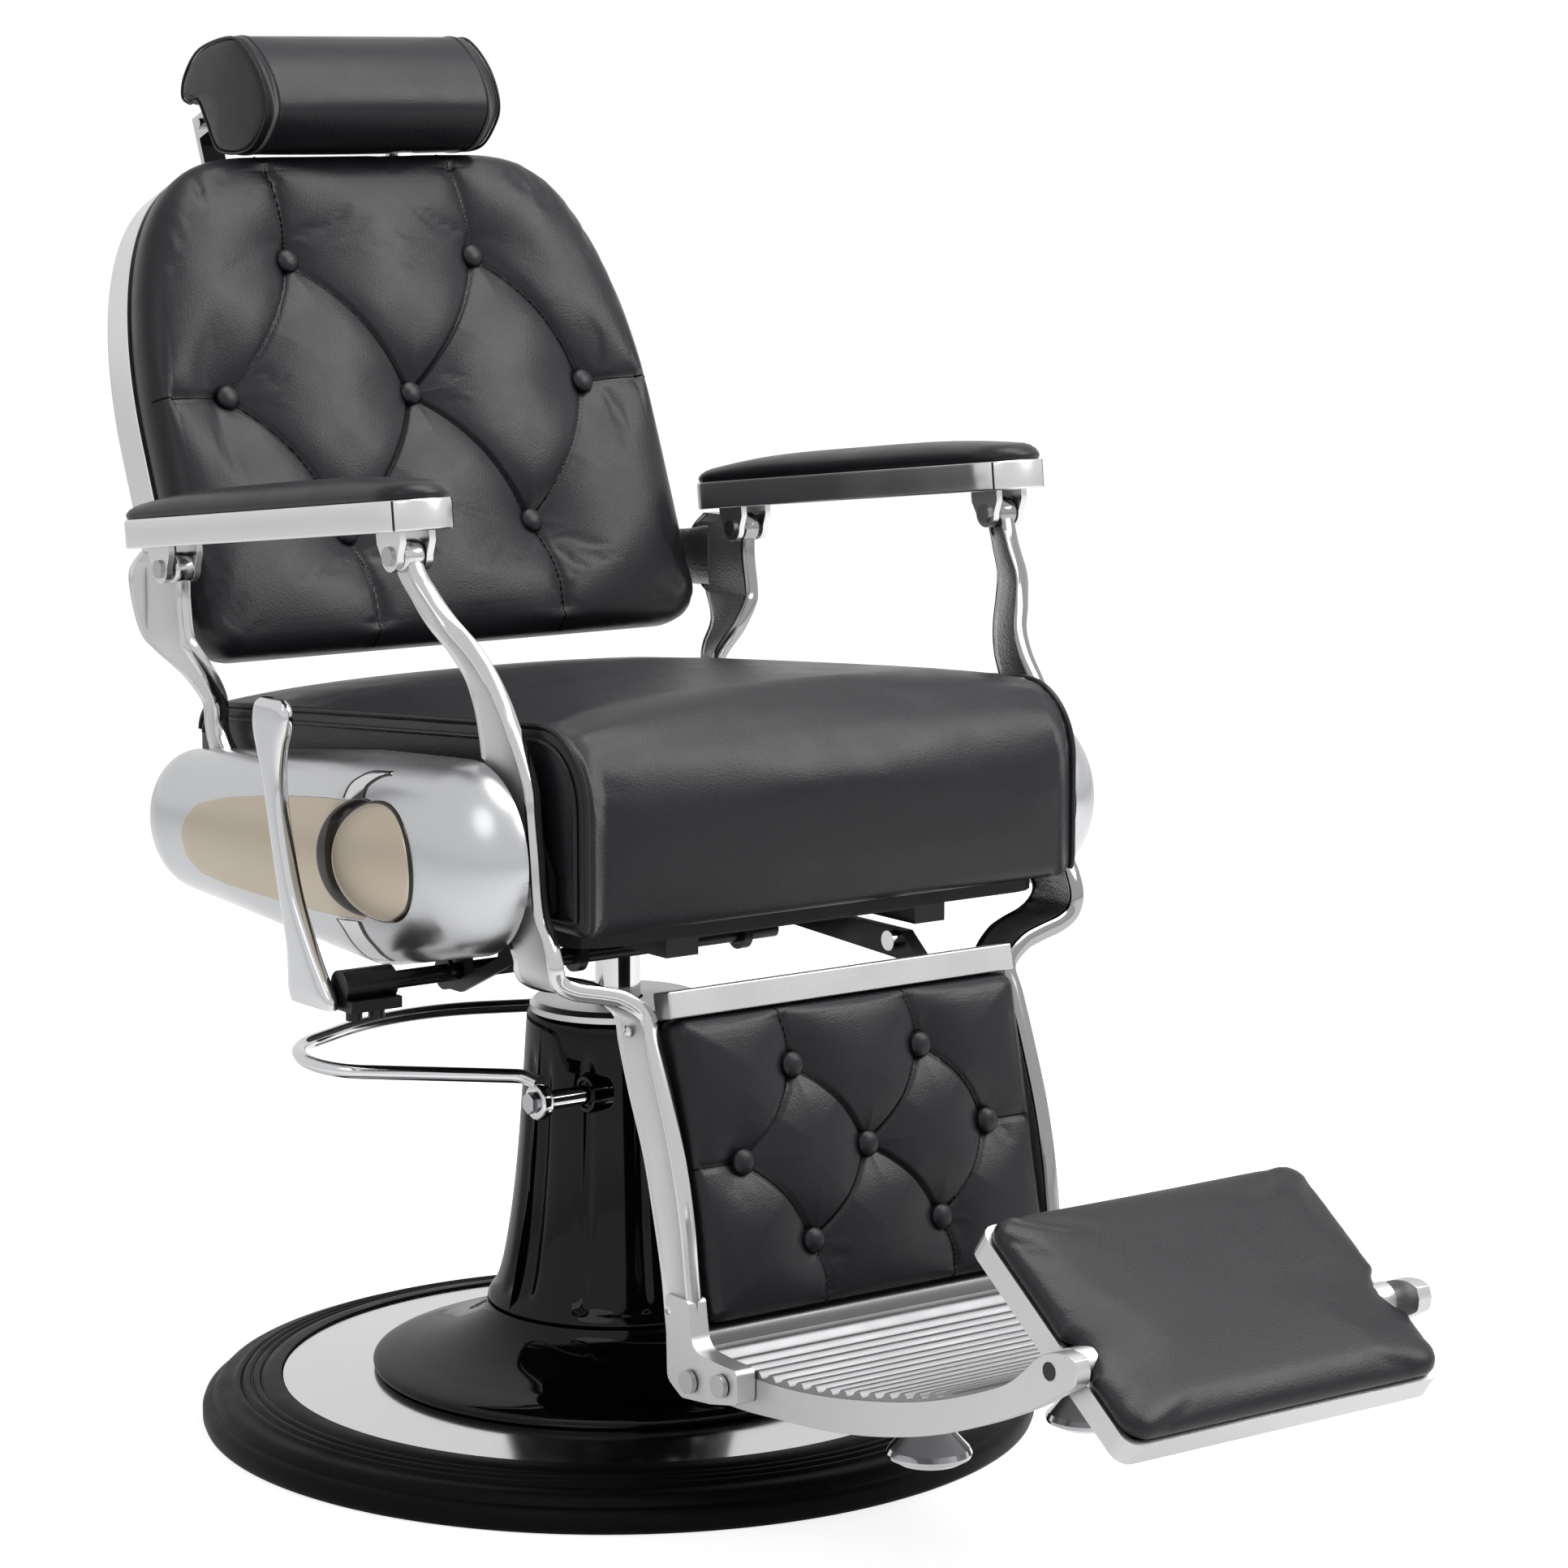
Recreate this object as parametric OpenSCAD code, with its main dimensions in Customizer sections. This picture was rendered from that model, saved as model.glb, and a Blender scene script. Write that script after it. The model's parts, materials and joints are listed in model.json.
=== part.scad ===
// Hydraulic barber chair with a parallel-linkage recline, in millimetres.
// +Z is up, the chair faces -Y, and the origin is the centre of the base on the floor.

/* [Base] */
// Outer diameter of the rubber base ring
base_d = 696; // [684:1:708]
// Radial width of the rubber base ring
ring_w = 66; // [50:1:80]
// Height of the ring at its inner edge
ring_h = 38; // [30:1:44]
// Height of the steel base disc at its centre pad
disc_h = 48; // [46:1:56]
// Diameter of the bell-shaped skirt
skirt_d = 410; // [380:1:440]
// Height of the pump column's shroud above the floor
column_top = 342; // [336:1:350]
// Wall of the shroud and the skirt
shroud_wall = 4; // [3:0.5:5]

/* [Pump] */
// Diameter of the chromed ram
ram_d = 38; // [34:1:42]
// Travel of the ram
lift_travel = 150; // [100:5:170]
// Outer diameter of the pump cylinder
cylinder_d = 84; // [78:1:88]
// Diameter of the pedal's cross shaft
pedal_shaft_d = 16; // [12:1:18]
// Height of the pedal's cross shaft
pedal_z = 286; // [270:1:295]
// Distance of the cross shaft in front of the ram
pedal_y = 52; // [50:1:55]
// Distance from the middle to each pedal eye
pedal_eye_x = 112; // [105:1:120]
// Diameter of the pedal rod
pedal_rod_d = 12; // [10:1:14]
// Half width of a pedal eye, wider than the rod that ends in it
pedal_eye_half = 6.4; // [6.2:0.2:9]

/* [Seat] */
// Half width of the seat cushion
seat_half = 238; // [230:1:238]
// Front of the seat cushion
seat_front = 306; // [300:1:307]
// Rear of the seat cushion
seat_rear = 278; // [265:1:280]
// Height of the seat cushion's underside
seat_z = 470; // [468:1:476]
// Height of the cushion's side seam at the middle of the seat
seat_top = 606; // [590:1:612]
// Thickness of the seat board
board_t = 12; // [9:1:15]
// Height of the steel seat frame
frame_h = 18; // [14:1:22]

/* [Linkage] */
// Distance from the middle to the lower posts' middle planes
post_x = 252; // [251:1:254]
// Distance from the middle to the armrests' middle planes
arm_x = 287; // [286:1:292]
// Thickness of the side frames' posts
post_t = 14; // [12:1:15]
// Front ground pivot, distance in front of the middle
front_pivot_y = 248; // [246:1:249]
// Front ground pivot height
front_pivot_z = 498; // [496:1:500]
// Rise from a ground pivot to the armrest pivot above it
crank_rise = 250; // [248:1:256]
// Rearward reach from a ground pivot to the armrest pivot
crank_reach = 104; // [102:1:106]
// Rearward distance between the front and rear pivots
coupler_reach = 359; // [357:1:361]
// Drop between the front and rear pivots
coupler_drop = 41; // [39:1:43]
// Diameter of the ground pivot pins
ground_pin_d = 18; // [14:1:20]
// Diameter of the armrest pins
arm_pin_d = 10; // [8:1:12]

/* [Armrests] */
// Length of an armrest
arm_l = 449; // [440:1:460]
// Width of an armrest
arm_w = 65; // [60:1:65]
// Height of an armrest's metal rim
arm_rim_h = 24; // [20:1:26]
// Crown of the armrest pad above the rim
arm_crown = 14; // [10:1:18]

/* [Back] */
// Lean of the backrest from upright, in degrees
back_tilt = 22; // [20:1:23]
// Half width of the backrest at its middle
back_half = 251; // [245:1:251]
// Half height of the backrest
back_rise = 221; // [210:1:226]
// Depth of the backrest's metal shell
shell_d = 42; // [36:1:46]
// Depth of the backrest cushion behind the button plane
back_pad_d = 28; // [22:1:32]
// Crown of the backrest cushion in front of the button plane
back_crown = 22; // [16:1:26]

/* [Headrest] */
// Half length of the headrest roll
head_half = 122; // [110:1:135]
// Height of the headrest roll
head_h = 104; // [90:1:112]
// Depth of the headrest roll
head_d = 118; // [100:1:126]
// Half distance between the headrest bars
head_bar_x = 95; // [80:1:100]
// Travel of the headrest bars
head_travel = 90; // [60:5:100]

/* [Leg rest] */
// Distance from the middle to the leg frames' inner faces
leg_half = 166; // [164:1:168]
// Thickness of the leg frames
leg_t = 18; // [14:1:20]
// Lean of the calf panel from upright, in degrees
calf_tilt = 12; // [11:1:13]
// Height of the calf cushion along the panel
calf_h = 230; // [220:1:236]
// Depth of the calf cushion behind the button plane
calf_pad_d = 30; // [24:1:32]
// Crown of the calf cushion in front of the button plane
calf_crown = 12; // [8:1:16]

/* [Footrest] */
// Thickness of the step's cheeks
cheek_t = 13; // [10:1:15]
// Height of the footplate's pivot
flip_z = 237; // [234:1:242]
// Distance of the footplate's pivot in front of the middle
flip_y = 762; // [756:1:764]
// Gap between the footplate tray and a cheek
tray_side_gap = 6.7; // [4.7:0.5:12]
// Length of the footplate tray
tray_l = 202; // [190:1:206]
// Height of the footplate tray
tray_h = 20; // [18:1:24]
// Slope of the footplate, in degrees
tray_tilt = 36; // [30:1:40]
// Distance from the footplate's pivot to the tray's middle
tray_mid = 26; // [20:1:28]
// Diameter of the footplate's pins
flip_pin_d = 14; // [10:1:16]

/* [Side housings] */
// Distance from the middle to the open side of a housing
housing_x = 264; // [263:1:266]
// Bulge of a housing
housing_bulge = 56; // [48:1:58]
// Radius of a housing's front end
housing_front_r = 75; // [72:1:78]
// Radius of a housing at its fullest
housing_mid_r = 84; // [80:1:86]
// Radius of a housing's rear end
housing_rear_r = 59; // [56:1:62]
// Wall of a housing
housing_wall = 2.5; // [2:0.5:3]

/* [Recline lever] */
// Distance from the middle to the lever's inner face
lever_x = 337; // [336:1:342]
// Thickness of the lever
lever_t = 14; // [10:1:16]
// Height of the lever's shaft
lever_z = 418; // [416:1:420]
// Distance of the lever's shaft in front of the middle
lever_y = 118; // [114:1:122]
// Diameter of the lever's shaft
lever_shaft_d = 14; // [12:1:16]

/* [Hidden] */
$fn = 48;

// Running clearance round a pin or shaft, and the gap that keeps pieces just apart
run = 0.05;
gap = 0.3;

// Colours
chrome = "silver";
satin = "gainsboro";
leather = "dimgray";
gloss_black = "black";
rubber = "darkslategray";

// Radii
ring_r = base_d / 2;
disc_r = ring_r - ring_w;
skirt_r = skirt_d / 2;
ram_r = ram_d / 2;
cylinder_r = cylinder_d / 2;
pad_r = 74;

// Height of the disc's cone at a radius
disc_edge_h = ring_h - 2;
function disc_z(r) = r < pad_r ? disc_h : disc_h - (disc_h - disc_edge_h) * (r - pad_r) / (disc_r - pad_r);

// Shroud radius against the share of its height, from the foot to the top
shroud_foot = 96;
shroud_shape = [
    [0, 107], [0.08, 101.5], [0.18, 95], [0.30, 90], [0.45, 86], [0.62, 82], [0.80, 78.5], [0.93, 76], [1, 75]
];
shroud_h = column_top - shroud_foot;
function shroud_line(t, z0, z1) = [for (p = shroud_shape) [p[1] - t, z0 + p[0] * (z1 - z0)]];

// Pump and seat levels
gland_top = column_top - 2;
ram_head_h = 22;
board_z = seat_z - board_t;
frame_z = board_z - frame_h;
hub_top = frame_z;
hub_r = 32;
hub_foot = hub_top - 40;
spigot_r = 14;
floor_clear = disc_h + 14;

// Linkage points, as [y, z]
front_ground = [-front_pivot_y, front_pivot_z];
rear_ground = front_ground + [coupler_reach, -coupler_drop];
front_top = front_ground + [crank_reach, crank_rise];
rear_top = rear_ground + [crank_reach, crank_rise];
post_in = post_x - post_t / 2;
post_out = post_x + post_t / 2;
rear_top_x = arm_x - 2;
arm_slope = atan(coupler_drop / coupler_reach);

// Side plate that carries the ground pivots
plate_t = 4;
plate_out = post_in - 1.5;
plate_in = plate_out - plate_t;

// Backrest plane: its origin and axes follow the rear frames
back_y = 320;
back_z = 830;

// Calf panel plane
calf_y = -338;
calf_z = 291;

// ---- helpers ----

// Places children on the backrest plane: x across, y up the panel, z out of its front
module on_back() {
    translate([0, back_y, back_z])
        rotate([90 - back_tilt, 0, 0])
            children();
}

// Places children on the calf panel plane in the same way
module on_calf() {
    translate([0, calf_y, calf_z])
        rotate([90 - calf_tilt, 0, 0])
            children();
}

// Places children on the footplate: y runs back and up, z out of the pad
module on_tray() {
    translate([0, -flip_y, flip_z])
        rotate([tray_tilt, 0, 0])
            children();
}

// Places children on an armrest at a side, with y along it and z square to it
module on_arm(side) {
    translate([side * arm_x, front_top[0], front_top[1]])
        rotate([-arm_slope, 0, 0])
            children();
}

// Plate of a side outline given as [y, z], from x0 to x1
module side_plate(x0, x1) {
    translate([x0, 0, 0])
        rotate([90, 0, 90])
            linear_extrude(x1 - x0)
                children();
}

// Cylinder along X
module rod_x(x0, x1, y, z, r) {
    translate([x0, y, z])
        rotate([0, 90, 0])
            cylinder(h = x1 - x0, r = r);
}

// Mirrors for the left side of the chair
module at_side(side) {
    mirror([side > 0 ? 0 : 1, 0, 0])
        children();
}

// Arc of points round a centre
function arc(c, rx, ry, a0, a1, n) =
    [for (i = [0:n]) [c[0] + rx * cos(a0 + (a1 - a0) * i / n), c[1] + ry * sin(a0 + (a1 - a0) * i / n)]];

// Outline of a rounded rectangle, drawn in by an inset; sides are split for a smoother pad
function split(a, b, n) = [for (i = [1:n - 1]) a + (b - a) * i / n];
function panel(x0, x1, y0, y1, r, inset, n) =
    let (q = max(r - inset, 2))
    let (a = x1 - inset - q, b = x0 + inset + q, c = y1 - inset - q, d = y0 + inset + q)
    concat(
        arc([a, d], q, q, -90, 0, 4), split([a + q, d], [a + q, c], n),
        arc([a, c], q, q, 0, 90, 4), split([a, c + q], [b, c + q], n),
        arc([b, c], q, q, 90, 180, 4), split([b - q, c], [b - q, d], n),
        arc([b, d], q, q, 180, 270, 4), split([b, d - q], [a, d - q], n)
    );

// Loft of closed rings, each a list of [x, y, z], closed by one point at each end; faces are triangles
module loft(rings, first, last) {
    n = len(rings[0]);
    m = len(rings);
    points = concat([for (r = rings) each r], [first, last]);
    sides = [for (i = [0:m - 2], j = [0:n - 1])
        let (k = (j + 1) % n, a = i * n + j, b = i * n + k, c = a + n, d = b + n)
        each [[a, c, d], [a, d, b]]];
    foot = [for (j = [0:n - 1]) [n * m, j, (j + 1) % n]];
    head = [for (j = [0:n - 1]) [n * m + 1, (m - 1) * n + (j + 1) % n, (m - 1) * n + j]];
    polyhedron(points = points, faces = concat(sides, foot, head));
}

// Depth that sewn buttons pull into a pad at a point
function pull(p, buttons, depth, width) =
    depth * max([for (b = buttons) exp(-pow(norm([p[0] - b[0], p[1] - b[1]]) / width, 2))]);

// ---- base ----

module base_ring() {
    color(rubber)
        rotate_extrude($fn = 96)
            polygon([
                [disc_r + gap, 0], [ring_r - 4, 0], [ring_r, 5], [ring_r, 14],
                [ring_r - 5, 20], [ring_r - 8, 20], [ring_r - 10, 25], [ring_r - 16, 27], [ring_r - 18, 29.5],
                [ring_r - 26, 31], [ring_r - 28, 33], [disc_r + 8, ring_h], [disc_r + gap, ring_h]
            ]);
}

module base_disc() {
    bolt_hole_d = 10;
    color(chrome)
        difference() {
            rotate_extrude($fn = 96)
                polygon([[0, 0], [disc_r, 0], [disc_r, disc_edge_h], [pad_r, disc_h], [0, disc_h]]);
            pump_bolt_places()
                translate([0, 0, disc_h - 24])
                    cylinder(h = 30, d = bolt_hole_d + 2 * run);
        }
}

module skirt() {
    lip_z = disc_z(skirt_r) + gap;
    t = shroud_wall;
    top = shroud_foot - gap;
    color(gloss_black)
        rotate_extrude($fn = 96)
            polygon([
                [skirt_r - t, lip_z], [skirt_r, lip_z], [skirt_r + 1, lip_z + 5], [skirt_r - 2, lip_z + 10],
                [skirt_r - 12, lip_z + 13], [skirt_r - 35, lip_z + 18], [skirt_r - 60, lip_z + 26],
                [skirt_r - 80, lip_z + 36], [skirt_r - 92, lip_z + 46], [112, top], [96, top],
                [96, top - t], [skirt_r - 96, lip_z + 43], [skirt_r - 82, lip_z + 31],
                [skirt_r - 60, lip_z + 21],
                [skirt_r - 35, lip_z + 13], [skirt_r - 14, lip_z + 8], [skirt_r - t, lip_z + 6]
            ]);
}

// Shroud: shell with an opening at each side for the pedal's shaft
module shroud() {
    t = shroud_wall;
    difference() {
        rotate_extrude($fn = 72)
            polygon(concat([[0, column_top], [0, shroud_foot]], shroud_line(0, shroud_foot, column_top)));
        rotate_extrude($fn = 72)
            polygon(concat(
                [[0, shroud_foot - 1]], [[shroud_shape[0][1] - t, shroud_foot - 1]],
                shroud_line(t, shroud_foot, column_top - t), [[0, column_top - t]]
            ));
        translate([0, 0, column_top - 2 * t])
            cylinder(h = 4 * t, r = cylinder_r + 6);
        rod_x(-ring_r, ring_r, -pedal_y, pedal_z, pedal_shaft_d / 2 + 6);
    }
}

module shroud_front() {
    color(gloss_black)
        difference() {
            shroud();
            translate([-ring_r, -gap / 2, 0])
                cube([2 * ring_r, ring_r, 2 * column_top]);
        }
}

module shroud_rear() {
    color(gloss_black)
        difference() {
            shroud();
            translate([-ring_r, gap / 2 - ring_r, 0])
                cube([2 * ring_r, ring_r, 2 * column_top]);
        }
}

module shroud_cap() {
    cap_r = 73;
    cap_h = 9;
    color("gray")
        rotate_extrude($fn = 72)
            polygon([
                [ram_r + 2, column_top], [cap_r, column_top], [cap_r, column_top + cap_h - 4],
                [cap_r - 4, column_top + cap_h], [ram_r + 2, column_top + cap_h]
            ]);
}

// ---- pump ----

module pump_bolt_places() {
    for (i = [0:3])
        rotate([0, 0, 45 + i * 90])
            translate([60, 0, 0])
                children();
}

module pump_cylinder() {
    block_half = 28;
    flange_h = 12;
    color("dimgray")
        difference() {
            union() {
                translate([0, 0, disc_h])
                    cylinder(h = flange_h, r = pad_r - 2);
                translate([0, 0, disc_h])
                    cylinder(h = gland_top - disc_h, r = cylinder_r);
                translate([-block_half, -pedal_y - pedal_shaft_d / 2 - 6, pedal_z - 22])
                    cube([2 * block_half, pedal_y, 44]);
            }
            translate([0, 0, disc_h + 8])
                cylinder(h = floor_clear + ram_head_h + lift_travel - disc_h - 8, r = ram_r + 8);
            translate([0, 0, disc_h + 8])
                cylinder(h = gland_top, r = ram_r + run);
            rod_x(-2 * block_half, 2 * block_half, -pedal_y, pedal_z, pedal_shaft_d / 2 + run);
            pump_bolt_places()
                translate([0, 0, disc_h - 1])
                    cylinder(h = flange_h + 2, r = 5 + run);
        }
}

module pump_bolts() {
    color(chrome)
        pump_bolt_places() {
            translate([0, 0, disc_h - 20])
                cylinder(h = 32, r = 5);
            translate([0, 0, disc_h + 12])
                cylinder(h = 7, r = 8.5, $fn = 6);
        }
}

module ram() {
    color(chrome)
        union() {
            translate([0, 0, floor_clear])
                cylinder(h = hub_foot - floor_clear, r = ram_r);
            translate([0, 0, floor_clear])
                cylinder(h = ram_head_h, r = ram_r + 8 - run);
            translate([0, 0, floor_clear])
                cylinder(h = hub_foot - floor_clear + 34, r = spigot_r);
        }
}

// ---- pedal ----

// Half length of the cross shaft, which ends just outside its eyes
pedal_shaft_half = pedal_eye_x + pedal_eye_half + 0.1;

module pedal_shaft() {
    color(chrome)
        rod_x(-pedal_shaft_half, pedal_shaft_half, -pedal_y, pedal_z, pedal_shaft_d / 2);
}

// Corners of the pedal loop in its own plane, as [x, y, bend radius]; y runs back from the shaft
pedal_path = [
    [-pedal_eye_x, 0, 0], [-pedal_eye_x, 24, 14], [-311, 146, 53], [-106, 232, 220], [pedal_eye_x, 166, 60],
    [pedal_eye_x, 0, 0]
];
pedal_slope = 5;

// Frames [point, tangent] along a path of straight runs joined by round bends, m steps to a bend
function xy(p) = [p[0], p[1]];
function unit(p, q) = (xy(p) - xy(q)) / norm(xy(p) - xy(q));
function left_of(t) = [-t[1], t[0]];
function bend(path, i, m) =
    let (u = unit(path[i - 1], path[i]), v = unit(path[i + 1], path[i]), half = acos(u * v) / 2)
    let (r = path[i][2], s = sign(u[1] * v[0] - u[0] * v[1]))
    let (c = xy(path[i]) + (u + v) / norm(u + v) * r / sin(half))
    [for (k = [0:m])
        let (a = atan2(-u[1], -u[0]) + s * (180 - 2 * half) * k / m, t = [cos(a), sin(a)])
        [c - s * r * left_of(t), t]];
function frames(path, m) =
    let (n = len(path))
    concat(
        [[xy(path[0]), unit(path[1], path[0])]],
        [for (i = [1:n - 2]) each bend(path, i, m)],
        [[xy(path[n - 1]), unit(path[n - 1], path[n - 2])]]
    );

// Round bar that follows such a path in its own plane
module bent_rod(path, r) {
    sides = 20;
    steps = 9;
    f = frames(path, steps);
    rings = [for (g = f) [for (k = [0:sides - 1])
        let (e = g[0] + r * cos(360 * k / sides) * left_of(g[1])) [e[0], e[1], r * sin(360 * k / sides)]]];
    last = f[len(f) - 1][0];
    loft(rings, [f[0][0][0], f[0][0][1], 0], [last[0], last[1], 0]);
}

module pedal_loop() {
    eye_wall = 7;
    rise = pedal_shaft_d / 2 + eye_wall;
    eye_r = pedal_shaft_d / 2 + eye_wall;
    color(chrome)
        difference() {
            translate([0, -pedal_y, pedal_z])
                union() {
                    rotate([pedal_slope, 0, 0])
                        translate([0, 0, rise])
                            bent_rod(pedal_path, pedal_rod_d / 2);
                    for (s = [-1, 1])
                        translate([s * pedal_eye_x, 0, 0])
                            rod_x(-pedal_eye_half, pedal_eye_half, 0, 0, eye_r, $fn = 12);
                }
            rod_x(-ring_r, ring_r, -pedal_y, pedal_z, pedal_shaft_d / 2 + run);
        }
}

module pedal_bolts() {
    head_t = 5;
    color("dimgray")
        for (s = [-1, 1])
            at_side(s)
                rod_x(pedal_shaft_half, pedal_shaft_half + head_t, -pedal_y, pedal_z, 9, $fn = 6);
}

// ---- seat structure ----

module swivel_hub() {
    plate_half = 85;
    color("dimgray")
        difference() {
            union() {
                translate([0, 0, hub_foot])
                    cylinder(h = hub_top - hub_foot, r = hub_r);
                translate([-plate_half, -plate_half, hub_top - 8])
                    cube([2 * plate_half, 2 * plate_half, 8]);
            }
            translate([0, 0, hub_foot - 1])
                cylinder(h = 37, r = spigot_r + run);
        }
}

rail_x = 105;
rail_w = 30;
frame_front = -265;
frame_rear = 215;

// Steel pan: a plate on two rails, with two crossbars over the hub
module seat_frame() {
    pan_t = 5;
    bar_w = 28;
    half = rail_x + rail_w;
    color("dimgray")
        union() {
            translate([-half, frame_front, board_z - pan_t])
                cube([2 * half, frame_rear - frame_front, pan_t]);
            for (x = [-half, rail_x])
                translate([x, frame_front, frame_z])
                    cube([rail_w, frame_rear - frame_front, frame_h]);
            for (y = [-88, 60])
                translate([-half, y, frame_z])
                    cube([2 * half, bar_w, frame_h]);
        }
}

module seat_board() {
    color("tan")
        translate([0, 0, board_z])
            linear_extrude(board_t)
                polygon(panel(-seat_half + 12, seat_half - 12, -seat_front + 26, seat_rear - 12, 30, 0, 1));
}

// Height of the seat cushion's top seam at a distance along the seat
function seat_line(y) = seat_top - 0.08 * y;

// Ring of the seat cushion: drawn in by an inset, at a share of its side height, raised by a crown
function seat_ring(inset, share, crown) =
    [for (p = panel(-seat_half, seat_half, -seat_front, seat_rear, 34, inset, 5))
        [p[0], p[1], seat_z + gap + (seat_line(p[1]) - seat_z - gap) * share + crown]];
function seat_dome(s) =
    [for (p = panel(-seat_half, seat_half, -seat_front, seat_rear, 34, 36, 5))
        [p[0] * s, p[1] * s - 15 * (1 - s), seat_line(p[1] * s) + 6 + 12 * (1 - s * s)]];

module seat_cushion() {
    color(leather)
        loft(
            concat(
                [seat_ring(14, 0, 0), seat_ring(5, 0.06, 0), seat_ring(1, 0.3, 0), seat_ring(0, 0.55, 0),
                 seat_ring(2, 0.78, 0), seat_ring(10, 0.92, 0), seat_ring(22, 1, 2)],
                [for (s = [1, 0.85, 0.65, 0.4, 0.2]) seat_dome(s)]
            ),
            [0, -20, seat_z + gap],
            [0, -15, seat_top + 19]
        );
}

// Side plate with the two ground pivots, and a foot that runs under the seat board
module side_plate_node(side) {
    foot_in = rail_x + rail_w + gap;
    foot_t = 8;
    color("dimgray")
        at_side(side)
            difference() {
                union() {
                    side_plate(plate_in, plate_out)
                        polygon([
                            front_ground + [-24, -10], front_ground + [-24, 16], front_ground + [-8, 44],
                            [-150, seat_top - 34], [20, seat_top - 50], rear_ground + [14, 40],
                            rear_ground + [28, 10], rear_ground + [24, -12], rear_ground + [0, -20],
                            [-100, board_z - foot_t], [-190, board_z - foot_t], [-226, board_z + 2]
                        ]);
                    translate([foot_in, -190, board_z - foot_t])
                        cube([plate_out - foot_in, 260, foot_t]);
                }
                for (p = [front_ground, rear_ground])
                    rod_x(plate_in - 1, plate_out + 1, p[0], p[1], ground_pin_d / 2 + run);
                for (p = stud_places)
                    rod_x(plate_in - 1, plate_out + 1, p[0], p[1], stud_r + run);
            }
}
module side_plate_right() side_plate_node(-1);
module side_plate_left() side_plate_node(1);

// Ground pivot pins, each with a collar that spaces the side frame off its plate
module pivot_pins() {
    color(chrome)
        for (s = [-1, 1], p = [front_ground, rear_ground])
            at_side(s)
                union() {
                    rod_x(plate_in, post_out + 1.5, p[0], p[1], ground_pin_d / 2);
                    rod_x(plate_out, post_in - gap, p[0], p[1], ground_pin_d / 2 + 5);
                    rod_x(post_out + gap, post_out + 3, p[0], p[1], ground_pin_d / 2 + 4);
                }
}

// ---- side housings ----

// Balls that shape a housing: [y, z, radius, share of the full bulge]
housing_balls = [
    [-198, 522, housing_front_r, 0.94], [-75, 505, housing_mid_r, 1], [218, 496, housing_rear_r, 0.72]
];
stud_r = 6;
stud_places = [[-60, 505], [40, 510]];

// Solid bubble: a hull of flattened balls, cut flat at the open side and grown by an offset
module bubble(grow) {
    intersection() {
        hull()
            for (b = housing_balls)
                translate([housing_x, b[0], b[1]])
                    scale([(housing_bulge * b[3] + grow) / b[2], 1 + grow / b[2], 1 + grow / b[2]])
                        sphere(b[2], $fn = 32);
        translate([housing_x, -ring_r - 50, 0])
            cube([100, 2 * ring_r, 2 * ring_r]);
    }
}

module housing(side) {
    color(chrome)
        at_side(side)
            union() {
                difference() {
                    bubble(0);
                    translate([-0.01, 0, 0])
                        bubble(-housing_wall);
                }
                intersection() {
                    bubble(-0.5);
                    for (p = stud_places)
                        rod_x(housing_x, housing_x + housing_bulge, p[0], p[1], stud_r + 4);
                }
            }
}
module housing_right() housing(-1);
module housing_left() housing(1);

// Studs that hold the housings off their side plates
module housing_studs() {
    color(chrome)
        for (s = [-1, 1], p = stud_places)
            at_side(s)
                rod_x(plate_in, housing_x, p[0], p[1], stud_r);
}

// Bronze insert on a housing: a long blade behind a round boss
module housing_insert(side) {
    boss = [-150, 520];
    boss_r = 45;
    color("tan")
        at_side(side)
            difference() {
                intersection() {
                    bubble(2.3);
                    side_plate(housing_x + 10, housing_x + 80)
                        union() {
                            translate(boss)
                                circle(boss_r, $fn = 40);
                            difference() {
                                polygon([
                                    [-160, 567], [-97, 562], [-19, 553], [98, 540], [170, 527], [196, 514],
                                    [204, 496], [200, 480], [184, 470], [101, 468], [-51, 467], [-160, 473]
                                ]);
                                translate(boss)
                                    circle(boss_r + 9, $fn = 40);
                            }
                        }
                }
                bubble(gap);
            }
}
module housing_insert_right() housing_insert(-1);
module housing_insert_left() housing_insert(1);

// ---- recline lever ----

bracket_places = [-228, -120, 40];

// Height that a bracket reaches: the side plate's foot or the open pan, or the underside of a rail
function bracket_top(x) = abs(x) > rail_x + rail_w || abs(x) < rail_x - 5 ? board_z - 8 : frame_z;

module lever_brackets() {
    color(gloss_black)
        for (x = bracket_places)
            difference() {
                side_plate(x - 4, x + 4)
                    union() {
                        translate([-lever_y, lever_z])
                            circle(lever_shaft_d / 2 + 6);
                        translate([-lever_y - 13, lever_z])
                            square([26, bracket_top(x) - lever_z]);
                    }
                rod_x(x - 5, x + 5, -lever_y, lever_z, lever_shaft_d / 2 + run);
            }
}

module lever_shaft() {
    color(gloss_black)
        rod_x(-lever_x + 46, 74, -lever_y, lever_z, lever_shaft_d / 2);
}

// Knuckle round the shaft's end, on a foot plate for the lever's bolts
module lever_block() {
    block_l = 45;
    foot_w = 36;
    foot_h = 9;
    color(gloss_black)
        union() {
            rod_x(-lever_x + gap, -lever_x + gap + block_l, -lever_y, lever_z, lever_shaft_d / 2 + 6);
            translate([-lever_x + gap, -lever_y - foot_w / 2, lever_z - 18])
                cube([block_l, foot_w, foot_h]);
        }
}

module lever_bolts() {
    color(gloss_black)
        for (x = [-lever_x + 13, -lever_x + 33])
            translate([x, -lever_y, lever_z - 18 - 9])
                cylinder(h = 9, r = 6.5, $fn = 24);
}

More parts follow.
